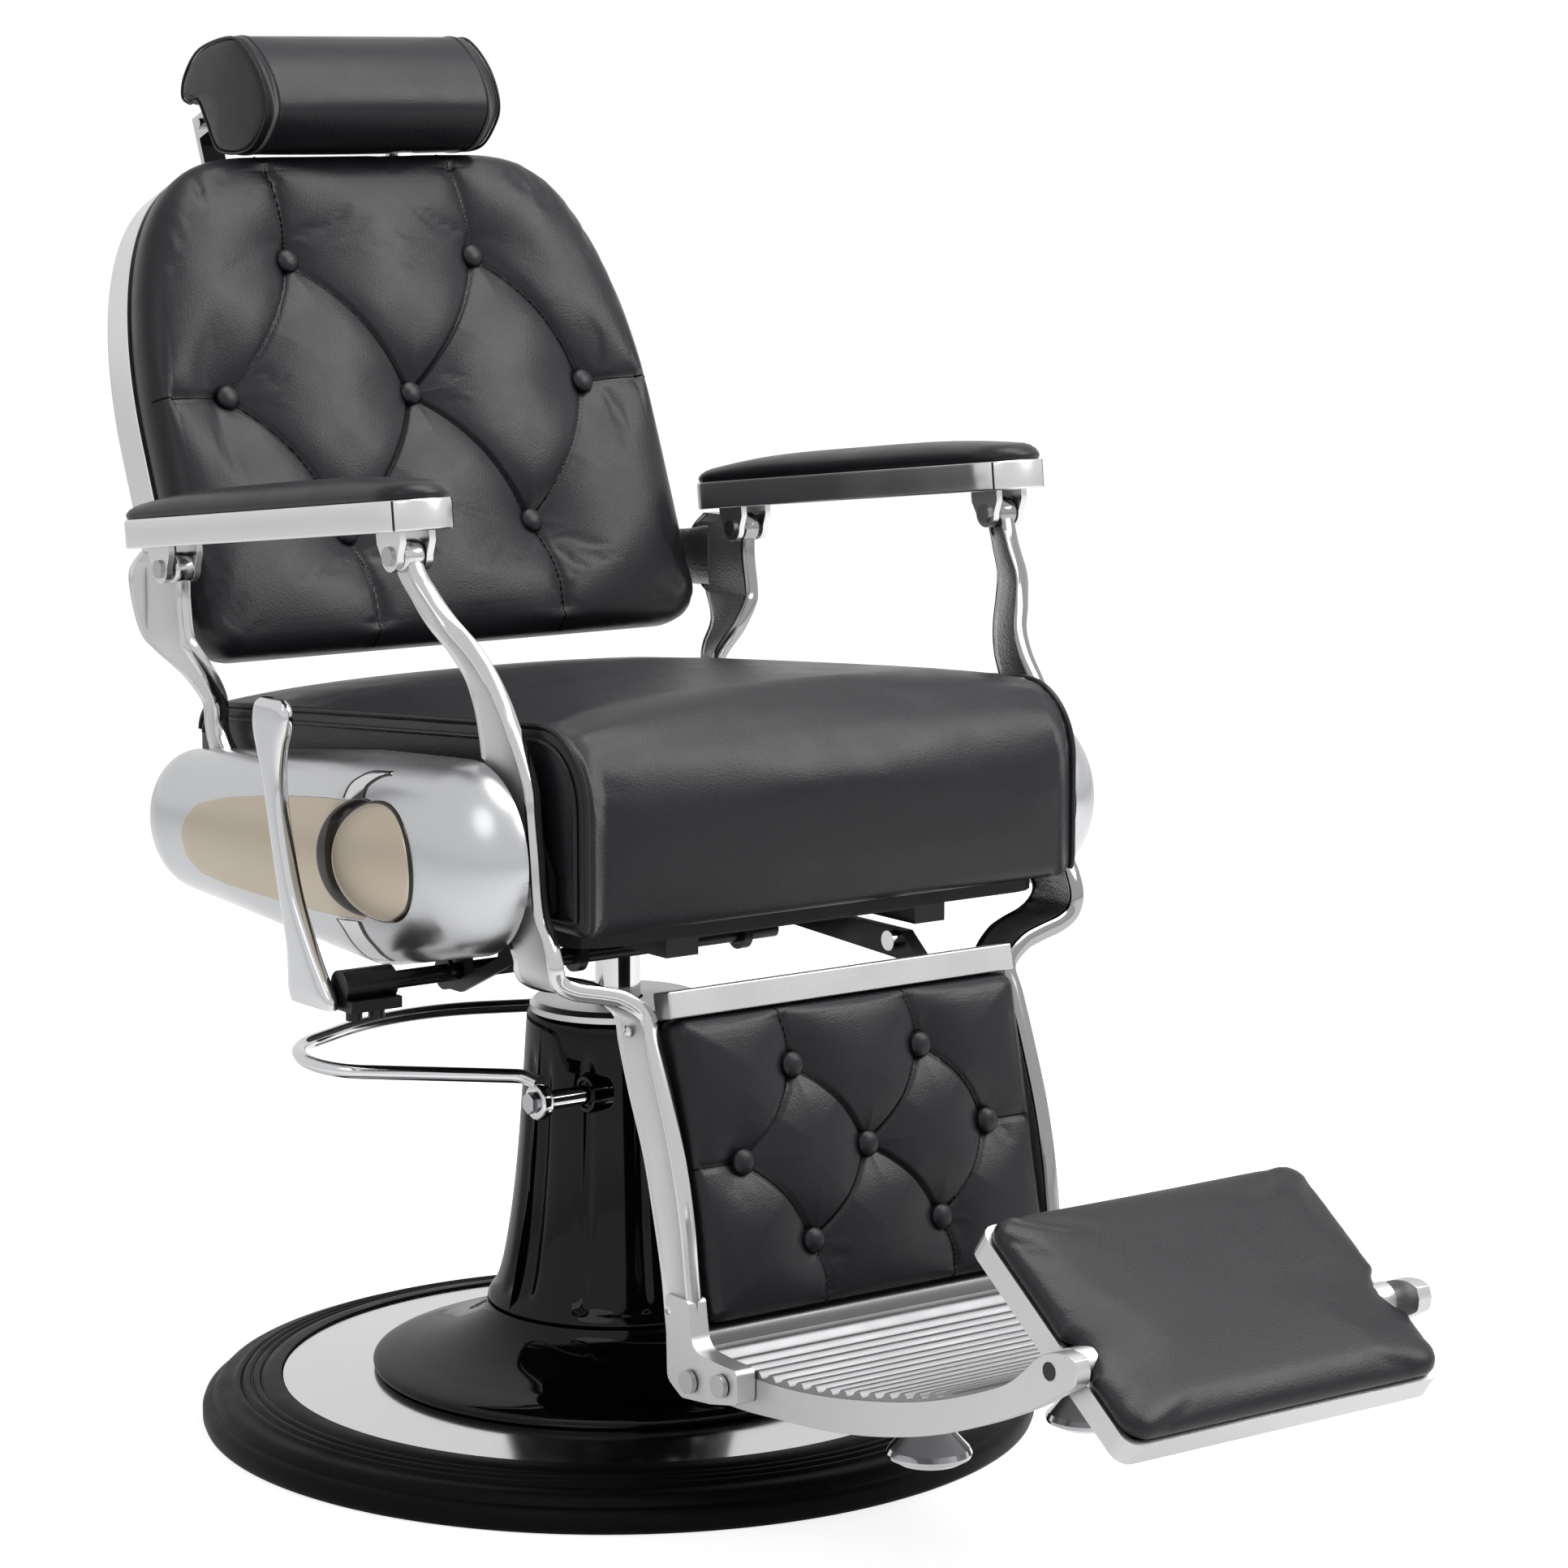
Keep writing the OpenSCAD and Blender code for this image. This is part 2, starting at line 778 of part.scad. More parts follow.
// Lever: a bulb-headed blade with its foot on the shaft's block
module recline_lever() {
    color(chrome)
        side_plate(-lever_x - lever_t, -lever_x)
            polygon([
                [-lever_y + 34, lever_z - 18], [-lever_y + 44, lever_z - 4],
                [-58, 450], [-52, 480], [-41, 520],
                [-31, 560], [-18, 590], [-13, 610], [-19, 625], [-34, 633], [-48, 632], [-60, 624],
                [-62, 612], [-52, 598], [-45, 580], [-44, 555], [-52, 515], [-66, 480], [-84, 450],
                [-lever_y + 12, lever_z + 8], [-lever_y - 6, lever_z - 2], [-lever_y - 4, lever_z - 18]
            ]);
}

// Black strap from the right side plate down to an eye round the lever's shaft
module housing_strap() {
    eye_r = lever_shaft_d / 2 + 6;
    color(gloss_black)
        at_side(-1)
            difference() {
                side_plate(plate_in, plate_out)
                    union() {
                        translate([-lever_y, lever_z])
                            circle(eye_r);
                        polygon([
                            [-lever_y, lever_z - 11], [-lever_y, lever_z + 2], [-142, lever_z - 1],
                            [-196, 442], [-198, board_z - 6], [-219, board_z - 0.2], [-213, 439],
                            [-143, lever_z - 11]
                        ]);
                    }
                rod_x(plate_in - 1, plate_out + 1, -lever_y, lever_z, lever_shaft_d / 2 + run);
            }
}

// ---- leg rest stop ----

// Bar from the seat frame to the calf rail, bent down to a foot that the rail rests against
stop_x = 93;
stop_w = 12;
stop_bolt_place = [-262, 429];

module stop_bar() {
    color(gloss_black)
        difference() {
            side_plate(stop_x - stop_w / 2, stop_x + stop_w / 2)
                polygon([
                    [-60, frame_z], [-88, frame_z], [-100, frame_z - 3], stop_bolt_place + [-8, 8],
                    rail_foot + [gap, 0], rail_foot + [gap, -8], stop_bolt_place + [4, -14],
                    [-60, frame_z - 16]
                ]);
            rod_x(stop_x - stop_w, stop_x + stop_w, stop_bolt_place[0], stop_bolt_place[1], 4 + run);
        }
}

module stop_bolt() {
    half = stop_w / 2;
    color(chrome)
        union() {
            rod_x(stop_x - half - 3, stop_x + half, stop_bolt_place[0], stop_bolt_place[1], 4);
            rod_x(stop_x - half - 7, stop_x - half, stop_bolt_place[0], stop_bolt_place[1], 8, $fn = 24);
        }
}

// ---- side frames ----

// Post as a loft of level sections: [share of the crank's rise, lean share, front, rear], with front and
// rear measured from the line between its pivots
function post_line(ground, share) = ground + share * [crank_reach, crank_rise];
function post_end(ground, x, row) =
    let (p = post_line(ground, row[0])) [x, p[0] + (row[2] + row[3]) / 2, p[1]];

module post(ground, top_x, rows) {
    t = post_t / 2;
    loft(
        [for (r = rows)
            let (x = post_x + r[1] * (top_x - post_x), p = post_line(ground, r[0]))
            [[x - t, p[0] + r[2], p[1]], [x + t, p[0] + r[2], p[1]],
             [x + t, p[0] + r[3], p[1]], [x - t, p[0] + r[3], p[1]]]],
        post_end(ground, post_x, rows[0]),
        post_end(ground, top_x, rows[len(rows) - 1])
    );
}

front_rows = [
    [-0.296, 0, -13, 41], [-0.232, 0, -20, 34], [-0.112, 0, -24, 34], [-0.028, 0, -17, 29],
    [0.136, 0, -24, 22],
    [0.248, 0, -28, 18], [0.328, 0, -37, 9], [0.408, 0, -37, 7], [0.488, 0, -36, 4], [0.568, 0, -33, 3],
    [0.648, 0.11, -32, 1], [0.728, 0.37, -31, 1], [0.808, 0.69, -25, 5], [0.888, 0.86, -16, 10],
    [0.952, 0.97, -11, 13], [1.032, 1, -11, 10]
];
rear_rows = [
    [-0.02, 0, -12, 18], [0.092, 0, -9, 29], [0.252, 0, 11, 53], [0.372, 0, 35, 66], [0.452, 0, 46, 68],
    [0.532, 0, 39, 63], [0.58, 0.12, 31, 61], [0.652, 0.48, 18, 59], [0.732, 0.88, 11, 75], [0.78, 1, 9, 84],
    [0.892, 1, 2, 86], [0.972, 1, -6, 82], [1.036, 1, -12, 71]
];

// Radius round the front pivot that the seat's front corner stays inside
seat_corner_r = 67;

// Satin side frame in front: arm post, inward sweep and leg in one casting
module front_frame(side) {
    f = front_ground;
    t = front_top;
    sweep_h = 22;
    inset = 0.5;
    proud = 0.2;
    leg_front = -299;
    leg_rear = -254;
    color(satin)
        at_side(side)
            difference() {
                union() {
                    post(f, arm_x, front_rows);
                    rod_x(post_in - proud, post_out + proud, f[0], f[1], ground_pin_d / 2 + 13);
                    rod_x(arm_x - post_t / 2 - proud, arm_x + post_t / 2 + proud, t[0], t[1], 13);
                    hull() {
                        translate([post_in + inset, f[0] - 44, f[1] - 74])
                            cube([post_t - 2 * inset, 54, sweep_h]);
                        translate([leg_half + inset, leg_front + inset, f[1] - 86])
                            cube([leg_t - 2 * inset, leg_rear - leg_front - 2 * inset, sweep_h]);
                    }
                    side_plate(leg_half, leg_half + leg_t)
                        polygon([
                            [leg_front, f[1] - 66], [-307, 391], [-331, 327], [-349, 269],
                            [-359, 209], [-364, 172],
                            [-371, 161], [-396, 160], [-424, 160], [-424, 134], [-389, 127], [-352, 123],
                            [-334, 131],
                            [-328, 172], [-321, 221], [-302, 286], [-275, 357], [leg_rear, f[1] - 82],
                            [leg_rear, f[1] - 66]
                        ]);
                }
                rod_x(0, post_in - 0.5, f[0], f[1], seat_corner_r);
                rod_x(post_in - 1, post_out + 1, f[0], f[1], ground_pin_d / 2 + run);
                rod_x(arm_x - post_t, arm_x + post_t, t[0], t[1], arm_pin_d / 2 + 0.5);
                for (p = step_screw_places)
                    rod_x(leg_half - 1, leg_half + leg_t + 1, p[0], p[1], 5 + run);
            }
}
module front_frame_right() front_frame(-1);
module front_frame_left() front_frame(1);

// Rear casting: arm post with a wing that carries the backrest
module rear_frame(side) {
    g = rear_ground;
    t = rear_top;
    wing_in = rear_top_x - post_t / 2;
    color(satin)
        at_side(side)
            difference() {
                union() {
                    post(g, rear_top_x, rear_rows);
                    rod_x(post_in, post_out, g[0], g[1], ground_pin_d / 2 + 11);
                    rod_x(wing_in, wing_in + post_t, t[0], t[1], 13);
                    hull() {
                        translate([wing_in, t[0] + 45, t[1] - 52])
                            cube([post_t, 20, 46]);
                        on_back()
                            translate([back_half + gap, -176, back_bolt_n - 13])
                                cube([back_ear_t, 54, 26]);
                    }
                }
                rod_x(post_in - 1, post_out + 1, g[0], g[1], ground_pin_d / 2 + run);
                rod_x(wing_in - 1, wing_in + post_t + 1, t[0], t[1], arm_pin_d / 2 + run);
                on_back()
                    for (v = back_bolt_v) {
                        rod_x(back_half - 5, wing_in + post_t + 1, v, back_bolt_n, 4 + run);
                        rod_x(back_half + gap + back_ear_t, wing_in + 2 * post_t, v, back_bolt_n, 7.5);
                    }
            }
}
module rear_frame_right() rear_frame(-1);
module rear_frame_left() rear_frame(1);

// ---- backrest ----

back_bolt_v = [-162, -136];
back_bolt_n = -shell_d - back_pad_d + 17;
back_ear_t = 12;

// Outline of the backrest: round lower corners, sides that curve in to a flat top
back_top_x = 90;
back_top_power = 0.6;
back_low_r = 34;
function back_outline(inset) =
    let (w = back_half - inset, q = max(back_low_r - inset, 4))
    let (b = -back_rise + inset, top = back_rise - inset)
    let (right = concat(
        [[w * 0.3, b], [w * 0.6, b]],
        arc([w - q, b + q], q, q, -90, 0, 4),
        [[w, -110], [w, -60]],
        [for (i = [0:12]) let (a = i * 7.5)
            [back_top_x + (w - back_top_x) * pow(cos(a), back_top_power), -20 + (top + 20) * sin(a)]],
        [[back_top_x * 0.4, top]]
    ))
    concat(right, [for (i = [len(right) - 1:-1:0]) [-right[i][0], right[i][1]]]);

module back_shell() {
    deep = shell_d + back_pad_d;
    wall = 3;
    color(chrome)
        on_back()
            difference() {
                translate([0, 0, -deep])
                    linear_extrude(shell_d)
                        polygon(back_outline(0));
                translate([0, 0, -deep + wall])
                    linear_extrude(shell_d)
                        polygon(back_outline(wall));
                for (v = back_bolt_v)
                    rod_x(-back_half - 9, back_half + 9, v, back_bolt_n, 4 + run);
            }
}

module back_board() {
    board = 10;
    color("tan")
        on_back()
            translate([0, 0, -back_pad_d - board])
                linear_extrude(board - gap)
                    polygon(back_outline(3.4));
}

back_button_places = [[-94, 124], [94, 124], [-180, 4], [0, 0], [180, 4], [-94, -121], [94, -121]];

// Ring of the backrest cushion: drawn in by an inset at a depth, and a dome ring with its tufts
function back_ring(inset, z) = [for (p = back_outline(inset)) [p[0], p[1], z]];
function back_dome(s) =
    [for (p = back_outline(16))
        let (q = p * s)
        [q[0], q[1], back_crown - 9 * pow(s, 6) - pull(q, back_button_places, back_crown - 2, 44)]];

module back_cushion() {
    color(leather)
        on_back() difference() {
            loft(
                concat(
                    [back_ring(6, -back_pad_d), back_ring(1, -back_pad_d * 0.6),
                     back_ring(0, -back_pad_d * 0.2), back_ring(3, 3), back_ring(8, back_crown - 14)],
                    [for (s = [1, 0.93, 0.86, 0.78, 0.7, 0.62, 0.54, 0.46, 0.38, 0.3, 0.2, 0.1]) back_dome(s)]
                ),
                [0, 0, -back_pad_d],
                [0, 0, 2]
            );
            button_pockets(back_button_places, back_button_n);
        }
}

module button(r, h) {
    rotate_extrude($fn = 24)
        polygon([[0, 0], [r - 1, 0], [r, h * 0.4], [r * 0.8, h * 0.75], [r * 0.45, h * 0.95], [0, h]]);
}

button_r = 9.5;
back_button_n = -1;
calf_button_n = -1;

// Pockets that the buttons' stems pull into a cushion
module button_pockets(places, n) {
    for (p = places)
        translate([p[0], p[1], n - gap])
            cylinder(h = 40, r = button_r + gap);
}

module back_buttons() {
    color(leather)
        on_back()
            for (p = back_button_places)
                translate([p[0], p[1], back_button_n])
                    button(button_r, 8);
}

module back_bolts() {
    head = back_half + gap + back_ear_t;
    head_t = 5;
    color("dimgray")
        on_back()
            for (s = [-1, 1], v = back_bolt_v)
                at_side(s)
                    union() {
                        rod_x(back_half - 3, head + 1, v, back_bolt_n, 4);
                        rod_x(head, head + head_t, v, back_bolt_n, 6.5);
                    }
}

// ---- headrest ----

bar_w = 22;
bar_t = 6;
bar_n = -shell_d - back_pad_d - 4;
guide_v = [60, 170];
head_pivot_v = back_rise + 56;

module headrest_guides() {
    wall = 4;
    color(chrome)
        on_back()
            for (s = [-1, 1], v = guide_v)
                translate([s * head_bar_x, v, 0])
                    difference() {
                        translate([-bar_w / 2 - wall, -14, bar_n - bar_t - wall + gap])
                            cube([bar_w + 2 * wall, 28, bar_t + wall + 4 - gap]);
                        translate([-bar_w / 2 - gap, -15, bar_n - bar_t])
                            cube([bar_w + 2 * gap, 30, bar_t + 2 * gap]);
                    }
}

module headrest_bars() {
    bar_l = head_travel + 200;
    color(chrome)
        on_back()
            difference() {
                union() {
                    for (s = [-1, 1])
                        translate([s * head_bar_x - bar_w / 2, head_pivot_v - bar_l, bar_n - bar_t + gap])
                            cube([bar_w, bar_l + 10, bar_t - gap]);
                    for (s = [-1, 1])
                        translate([s * head_bar_x - bar_w / 2, head_pivot_v - 10, bar_n - bar_t + gap])
                            cube([bar_w, 20, 24]);
                    translate([-head_bar_x, head_pivot_v - 58, bar_n - bar_t + gap])
                        cube([2 * head_bar_x, 20, bar_t - gap]);
                }
                rod_x(-head_half, head_half, head_pivot_v, bar_n + 10, 5 + run);
            }
}

module headrest_pin() {
    color(chrome)
        on_back()
            rod_x(-head_bar_x - 16, head_bar_x + 16, head_pivot_v, bar_n + 10, 5);
}

// Headrest roll section in the backrest's plane: front, top, rear lobe and the hollow for the bars
function roll_section(inset) =
    let (a = head_d * 0.62 - inset, b = head_h / 2 - inset)
    concat(
        arc([-18, head_pivot_v + 12], a, b, -90, 90, 14),
        arc([-40, head_pivot_v + 12], head_d * 0.42 - inset, b, 90, 180, 6),
        [[-40 - head_d * 0.42 + inset, head_pivot_v + 8 + inset], [-78 + inset, head_pivot_v - 2 + inset],
         [-66 + inset, head_pivot_v + inset * 0.5 - 2], [-60 + inset, head_pivot_v + 2],
         [-50 + inset, head_pivot_v + 2],
         [-50 + inset, head_pivot_v - 16], [-50 + inset, head_pivot_v - 34]]
    );
function roll_ring(x, inset) = [for (p = roll_section(inset)) [x, p[1], p[0]]];

module headrest_roll() {
    ends = [[-head_half, 12], [-head_half + 1, 5], [-head_half + 8, 1], [-head_half + 26, 0]];
    color(leather)
        on_back()
            difference() {
                loft(
                    concat(
                        [for (e = ends) roll_ring(e[0], e[1])],
                        [roll_ring(0, -1)],
                        [for (i = [3:-1:0]) roll_ring(-ends[i][0], ends[i][1])]
                    ),
                    [-head_half, head_pivot_v + 10, -10],
                    [head_half, head_pivot_v + 10, -10]
                );
                for (s = [-1, 1])
                    translate([s * head_bar_x - bar_w / 2 - 5, head_pivot_v - 16, bar_n - 20])
                        cube([bar_w + 10, 32, 46]);
                rod_x(-head_bar_x - 17, head_bar_x + 17, head_pivot_v, bar_n + 10, 5 + run);
            }
}

// ---- armrests ----

arm_lug_gap = post_t / 2 + 3;
arm_lug_t = 6;
arm_base = 18;

// Armrest runs from its front tip, ahead of the front pin, to its rear tip
arm_front = -40;
arm_pin_span = norm([coupler_reach, coupler_drop]);

function arm_outline(inset) =
    let (r = arm_w / 2 - inset, y0 = arm_front + arm_w / 2, y1 = arm_front + arm_l - arm_w / 2)
    concat(
        arc([0, y0], r, r, -180, 0, 12), split([r, y0], [r, y1], 8),
        arc([0, y1], r, r, 0, 180, 12), split([-r, y1], [-r, y0], 8)
    );

module arm_rim(side) {
    color(chrome)
        on_arm(side)
            difference() {
                union() {
                    difference() {
                        translate([0, 0, arm_base])
                            linear_extrude(arm_rim_h)
                                stadium(0);
                        translate([0, 0, arm_base + 9])
                            linear_extrude(arm_rim_h)
                                stadium(3);
                    }
                    for (y = [0, arm_pin_span], s = [-1, 1])
                        translate([s * (arm_lug_gap + arm_lug_t / 2) - arm_lug_t / 2, y, 0])
                            rotate([90, 0, 90])
                                linear_extrude(arm_lug_t)
                                    union() {
                                        circle(12);
                                        translate([-17, arm_base - 8])
                                            square([34, 8]);
                                        polygon([
                                            [-11.5, -4], [11.5, -4], [17, arm_base - 8], [-17, arm_base - 8]
                                        ]);
                                    }
                }
                for (y = [0, arm_pin_span])
                    rod_x(-arm_w, arm_w, y, 0, arm_pin_d / 2 + run);
            }
}
module stadium(inset) {
    r = arm_w / 2 - inset;
    for (y = [arm_front + arm_w / 2, arm_front + arm_l - arm_w / 2])
        translate([0, y])
            circle(r, $fn = 64);
    translate([-r, arm_front + arm_w / 2])
        square([2 * r, arm_l - arm_w]);
}
module arm_rim_right() arm_rim(-1);
module arm_rim_left() arm_rim(1);

function arm_ring(inset, z) = [for (p = arm_outline(inset)) [p[0], p[1], z]];
function arm_dome(s, z) =
    let (m = arm_front + arm_l / 2)
    [for (p = arm_outline(13)) [p[0] * s, m + (p[1] - m) * (0.4 + 0.6 * s), z]];

module arm_pad(side) {
    top = arm_base + arm_rim_h;
    color(leather)
        on_arm(side)
            loft(
                [arm_ring(3 + gap, arm_base + 9 + gap), arm_ring(3 + gap, top), arm_ring(1.5, top + 3),
                 arm_ring(2.5, top + 8), arm_ring(7, top + 14), arm_dome(1, top + arm_crown - 2.5),
                 arm_dome(0.5, top + arm_crown)],
                [0, arm_front + arm_l / 2, arm_base + 9 + gap],
                [0, arm_front + arm_l / 2, top + arm_crown + 0.5]
            );
}
module arm_pad_right() arm_pad(-1);
module arm_pad_left() arm_pad(1);

module arm_pins() {
    reach = arm_lug_gap + arm_lug_t;
    head_t = 2.4;
    color("dimgray")
        for (side = [-1, 1])
            on_arm(side)
                for (y = [0, arm_pin_span])
                    union() {
                        rod_x(-reach - 1, reach + 1, y, 0, arm_pin_d / 2);
                        for (s = [-1, 1])
                            translate([s * (reach + head_t / 2), 0, 0])
                                rod_x(-head_t / 2, head_t / 2, y, 0, arm_pin_d / 2 + 2.5);
                    }
}

// ---- leg rest ----

rail_h = 21;
rail_d = 22;
rail_low = calf_h / 2 + 1;
// Upper rear corner of the calf rail as [y, z]
rail_foot = [
    calf_y + (rail_low + rail_h) * sin(calf_tilt) + (rail_d - 2) * cos(calf_tilt),
    calf_z + (rail_low + rail_h) * cos(calf_tilt) - (rail_d - 2) * sin(calf_tilt)
];

module calf_rail() {
    color(satin)
        on_calf()
            translate([-leg_half + gap, rail_low, 2 - rail_d])
                cube([2 * (leg_half - gap), rail_h, rail_d]);
}

calf_half = leg_half - 2.5;

module calf_board() {
    board = 10;
    color("tan")
        on_calf()
            translate([-leg_half + gap, -calf_h / 2, -calf_pad_d - board])
                cube([2 * (leg_half - gap), calf_h, board - gap]);
}

calf_button_places = [[-62, 69], [62, 69], [-118, 2], [0, 0], [118, 2], [-62, -66], [62, -66]];

function calf_ring(inset, z) =
    [for (p = panel(-calf_half, calf_half, -calf_h / 2, calf_h / 2, 12, inset, 5)) [p[0], p[1], z]];
function calf_dome(s) =
    [for (p = panel(-calf_half, calf_half, -calf_h / 2, calf_h / 2, 12, 8, 5))
        let (q = p * s)
        [q[0], q[1], calf_crown - 5 * pow(s, 6) - pull(q, calf_button_places, calf_crown - 1, 30)]];

module calf_cushion() {
    color(leather)
        on_calf() difference() {
            loft(
                concat(
                    [calf_ring(3, -calf_pad_d), calf_ring(0, -calf_pad_d * 0.6), calf_ring(1, -3)],
                    [for (s = [1, 0.92, 0.82, 0.72, 0.62, 0.52, 0.42, 0.3, 0.18]) calf_dome(s)]
                ),
                [0, 0, -calf_pad_d],
                [0, 0, 1]
            );
            button_pockets(calf_button_places, calf_button_n);
        }
}

module calf_buttons() {
    color(leather)
        on_calf()
            for (p = calf_button_places)
                translate([p[0], p[1], calf_button_n])
                    button(button_r, 7);
}

// ---- footrest ----

step_half = leg_half - gap;
tray_half = step_half - cheek_t - tray_side_gap;
step_screw_places = [[-364, 139], [-404, 145]];

// Upper line of the tread as [y, z], from the rear bar through the dip to the front edge
tread_line = [
    [-318, 163], [-359, 160], [-385, 154], [-401, 153], [-456, 155], [-510, 161], [-568, 171.5],
    [-619, 183.5], [-666, 197]
];
function tread_z(y) = lookup(y, [for (p = tread_line) p]);
ridge_pitch = 12;
ridge_count = 25;
ridge_h = 3;
tread_t = 8;

module footrest_step() {
    ridges = [for (i = [0:ridge_count - 1])
        let (y = -362 - i * ridge_pitch)
        each [[y, tread_z(y)], [y - ridge_pitch * 0.3, tread_z(y - ridge_pitch * 0.3) + ridge_h],
              [y - ridge_pitch * 0.6, tread_z(y - ridge_pitch * 0.6) + ridge_h]]];
    color(satin)
        difference() {
            union() {
                side_plate(-step_half, step_half)
                    polygon(concat(
                        [[-318, 163], [-322, 167], [-336, 172], [-352, 174], [-358, 171], [-359, 160]],
                        ridges,
                        [for (i = [len(tread_line) - 1:-1:0]) tread_line[i] - [0, tread_t]]
                    ));
                for (s = [-1, 1])
                    at_side(s)
                        side_plate(step_half - cheek_t, step_half)
                            polygon([
                                [-345, 124], [-345, 151], [-401, 151], [-456, 153], [-510, 159],
                                [-568, 169.5], [-619, 181.5], [-664, 196], [-711, 215], [-732, 229],
                                [-750, 247], [-766, 255], [-783, 259], [-797, 257.5], [-808, 251],
                                [-802, 241], [-794, 236.5], [-768, 221], [-738, 203], [-685, 179],
                                [-630, 159], [-568, 143], [-510, 133], [-450, 127], [-398, 123]
                            ]);
            }
            rod_x(-step_half - 1, step_half + 1, -flip_y, flip_z, flip_pin_d / 2 + run);
            for (s = [-1, 1], p = step_screw_places)
                at_side(s)
                    rod_x(step_half - cheek_t - 1, leg_half + leg_t, p[0], p[1], 5 + run);
        }
}

module step_bolts() {
    head_t = 4;
    color("dimgray")
        for (s = [-1, 1], p = step_screw_places)
            at_side(s)
                union() {
                    rod_x(step_half - cheek_t, leg_half + leg_t + 1, p[0], p[1], 5);
                    rod_x(leg_half + leg_t, leg_half + leg_t + head_t, p[0], p[1], 9);
                }
}

// Chromed bumpers under the step
module footrest_feet() {
    foot_y = -517;
    neck_r = 9;
    top = tread_z(foot_y + neck_r) - tread_t - gap;
    color(chrome)
        for (x = [-76, 76])
            translate([x, foot_y, 0])
                rotate_extrude($fn = 48)
                    polygon([
                        [0, 95], [24, 96], [31, 100], [32, 103], [30, 107], [17, 121], [neck_r + 1, 133],
                        [neck_r, top], [0, top]
                    ]);
}

boss_l = 15;
tray_low = -18;

// Pins of the footplate, each ending in a recess of its cheek
module footplate_pins() {
    recess = 6;
    color(chrome)
        for (s = [-1, 1])
            at_side(s)
                rod_x(tray_half - boss_l + 1, step_half - recess, -flip_y, flip_z, flip_pin_d / 2);
}

// Outline of the footplate tray, drawn in by an inset
function tray_outline(inset) =
    panel(-tray_half, tray_half, tray_mid - tray_l / 2, tray_mid + tray_l / 2, 12, inset, 1);

module footplate_tray() {
    wall = 5;
    color(satin)
        on_tray()
            difference() {
                union() {
                    difference() {
                        translate([0, 0, tray_low])
                            linear_extrude(tray_h)
                                polygon(tray_outline(0));
                        translate([0, 0, tray_low + wall])
                            linear_extrude(tray_h)
                                polygon(tray_outline(wall));
                    }
                    for (s = [-1, 1])
                        at_side(s)
                            rod_x(tray_half - boss_l, tray_half, 0, 0, flip_pin_d / 2 + 6);
                }
                rod_x(-step_half - 1, step_half + 1, 0, 0, flip_pin_d / 2 + run);
            }
}

// Footplate pad: a rounded panel with a notch at each side for the pivot bosses
function foot_outline(inset) =
    let (w = tray_half - 2 - inset, q = max(18 - inset, 3), n = 26 + inset)
    let (d = tray_mid - tray_l / 2 + 2 + inset + q, c = tray_mid + tray_l / 2 - 2 - inset - q)
    concat(
        arc([w - q, d], q, q, -90, 0, 4),
        arc([w + 6, 0], n, n, 256, 104, 7),
        arc([w - q, c], q, q, 0, 90, 4), split([w - q, c + q], [-w + q, c + q], 6),
        arc([-w + q, c], q, q, 90, 180, 4),
        arc([-w - 6, 0], n, n, 76, -76, 7),
        arc([-w + q, d], q, q, 180, 270, 4), split([-w + q, d - q], [w - q, d - q], 6)
    );
function foot_ring(inset, z) = [for (p = foot_outline(inset)) [p[0], p[1], z]];
function foot_dome(s, z) =
    [for (p = foot_outline(12)) [p[0] * s, tray_mid + (p[1] - tray_mid) * s, z - 2.5 * s * s]];

module footplate_pad() {
    low = tray_low + tray_h + gap;
    top = low + 14;
    color(leather)
        on_tray()
            loft(
                concat(
                    [foot_ring(2, low), foot_ring(0, low + 3), foot_ring(2, low + 8),
                     foot_ring(6, low + 10.5)],
                    [for (s = [1, 0.75, 0.45, 0.2]) foot_dome(s, top)]
                ),
                [0, tray_mid, low],
                [0, tray_mid, top]
            );
}

base_ring();
base_disc();
skirt();
shroud_front();
shroud_rear();
shroud_cap();
pump_cylinder();
pump_bolts();
ram();
pedal_shaft();
pedal_loop();
pedal_bolts();
swivel_hub();
seat_frame();
seat_board();
seat_cushion();
side_plate_right();
side_plate_left();
pivot_pins();
housing_right();
housing_left();
housing_insert_right();
housing_insert_left();
housing_studs();
lever_brackets();
housing_strap();
recline_lever();
lever_shaft();
lever_block();
lever_bolts();
stop_bar();
stop_bolt();
rear_frame_right();
rear_frame_left();
back_shell();
back_board();
back_cushion();
back_buttons();
back_bolts();
headrest_guides();
headrest_bars();
headrest_pin();
headrest_roll();
arm_rim_right();
arm_rim_left();
arm_pad_right();
arm_pad_left();
arm_pins();
front_frame_right();
front_frame_left();
calf_rail();
calf_board();
calf_cushion();
calf_buttons();
footrest_step();
step_bolts();
footrest_feet();
footplate_pins();
footplate_tray();
footplate_pad();
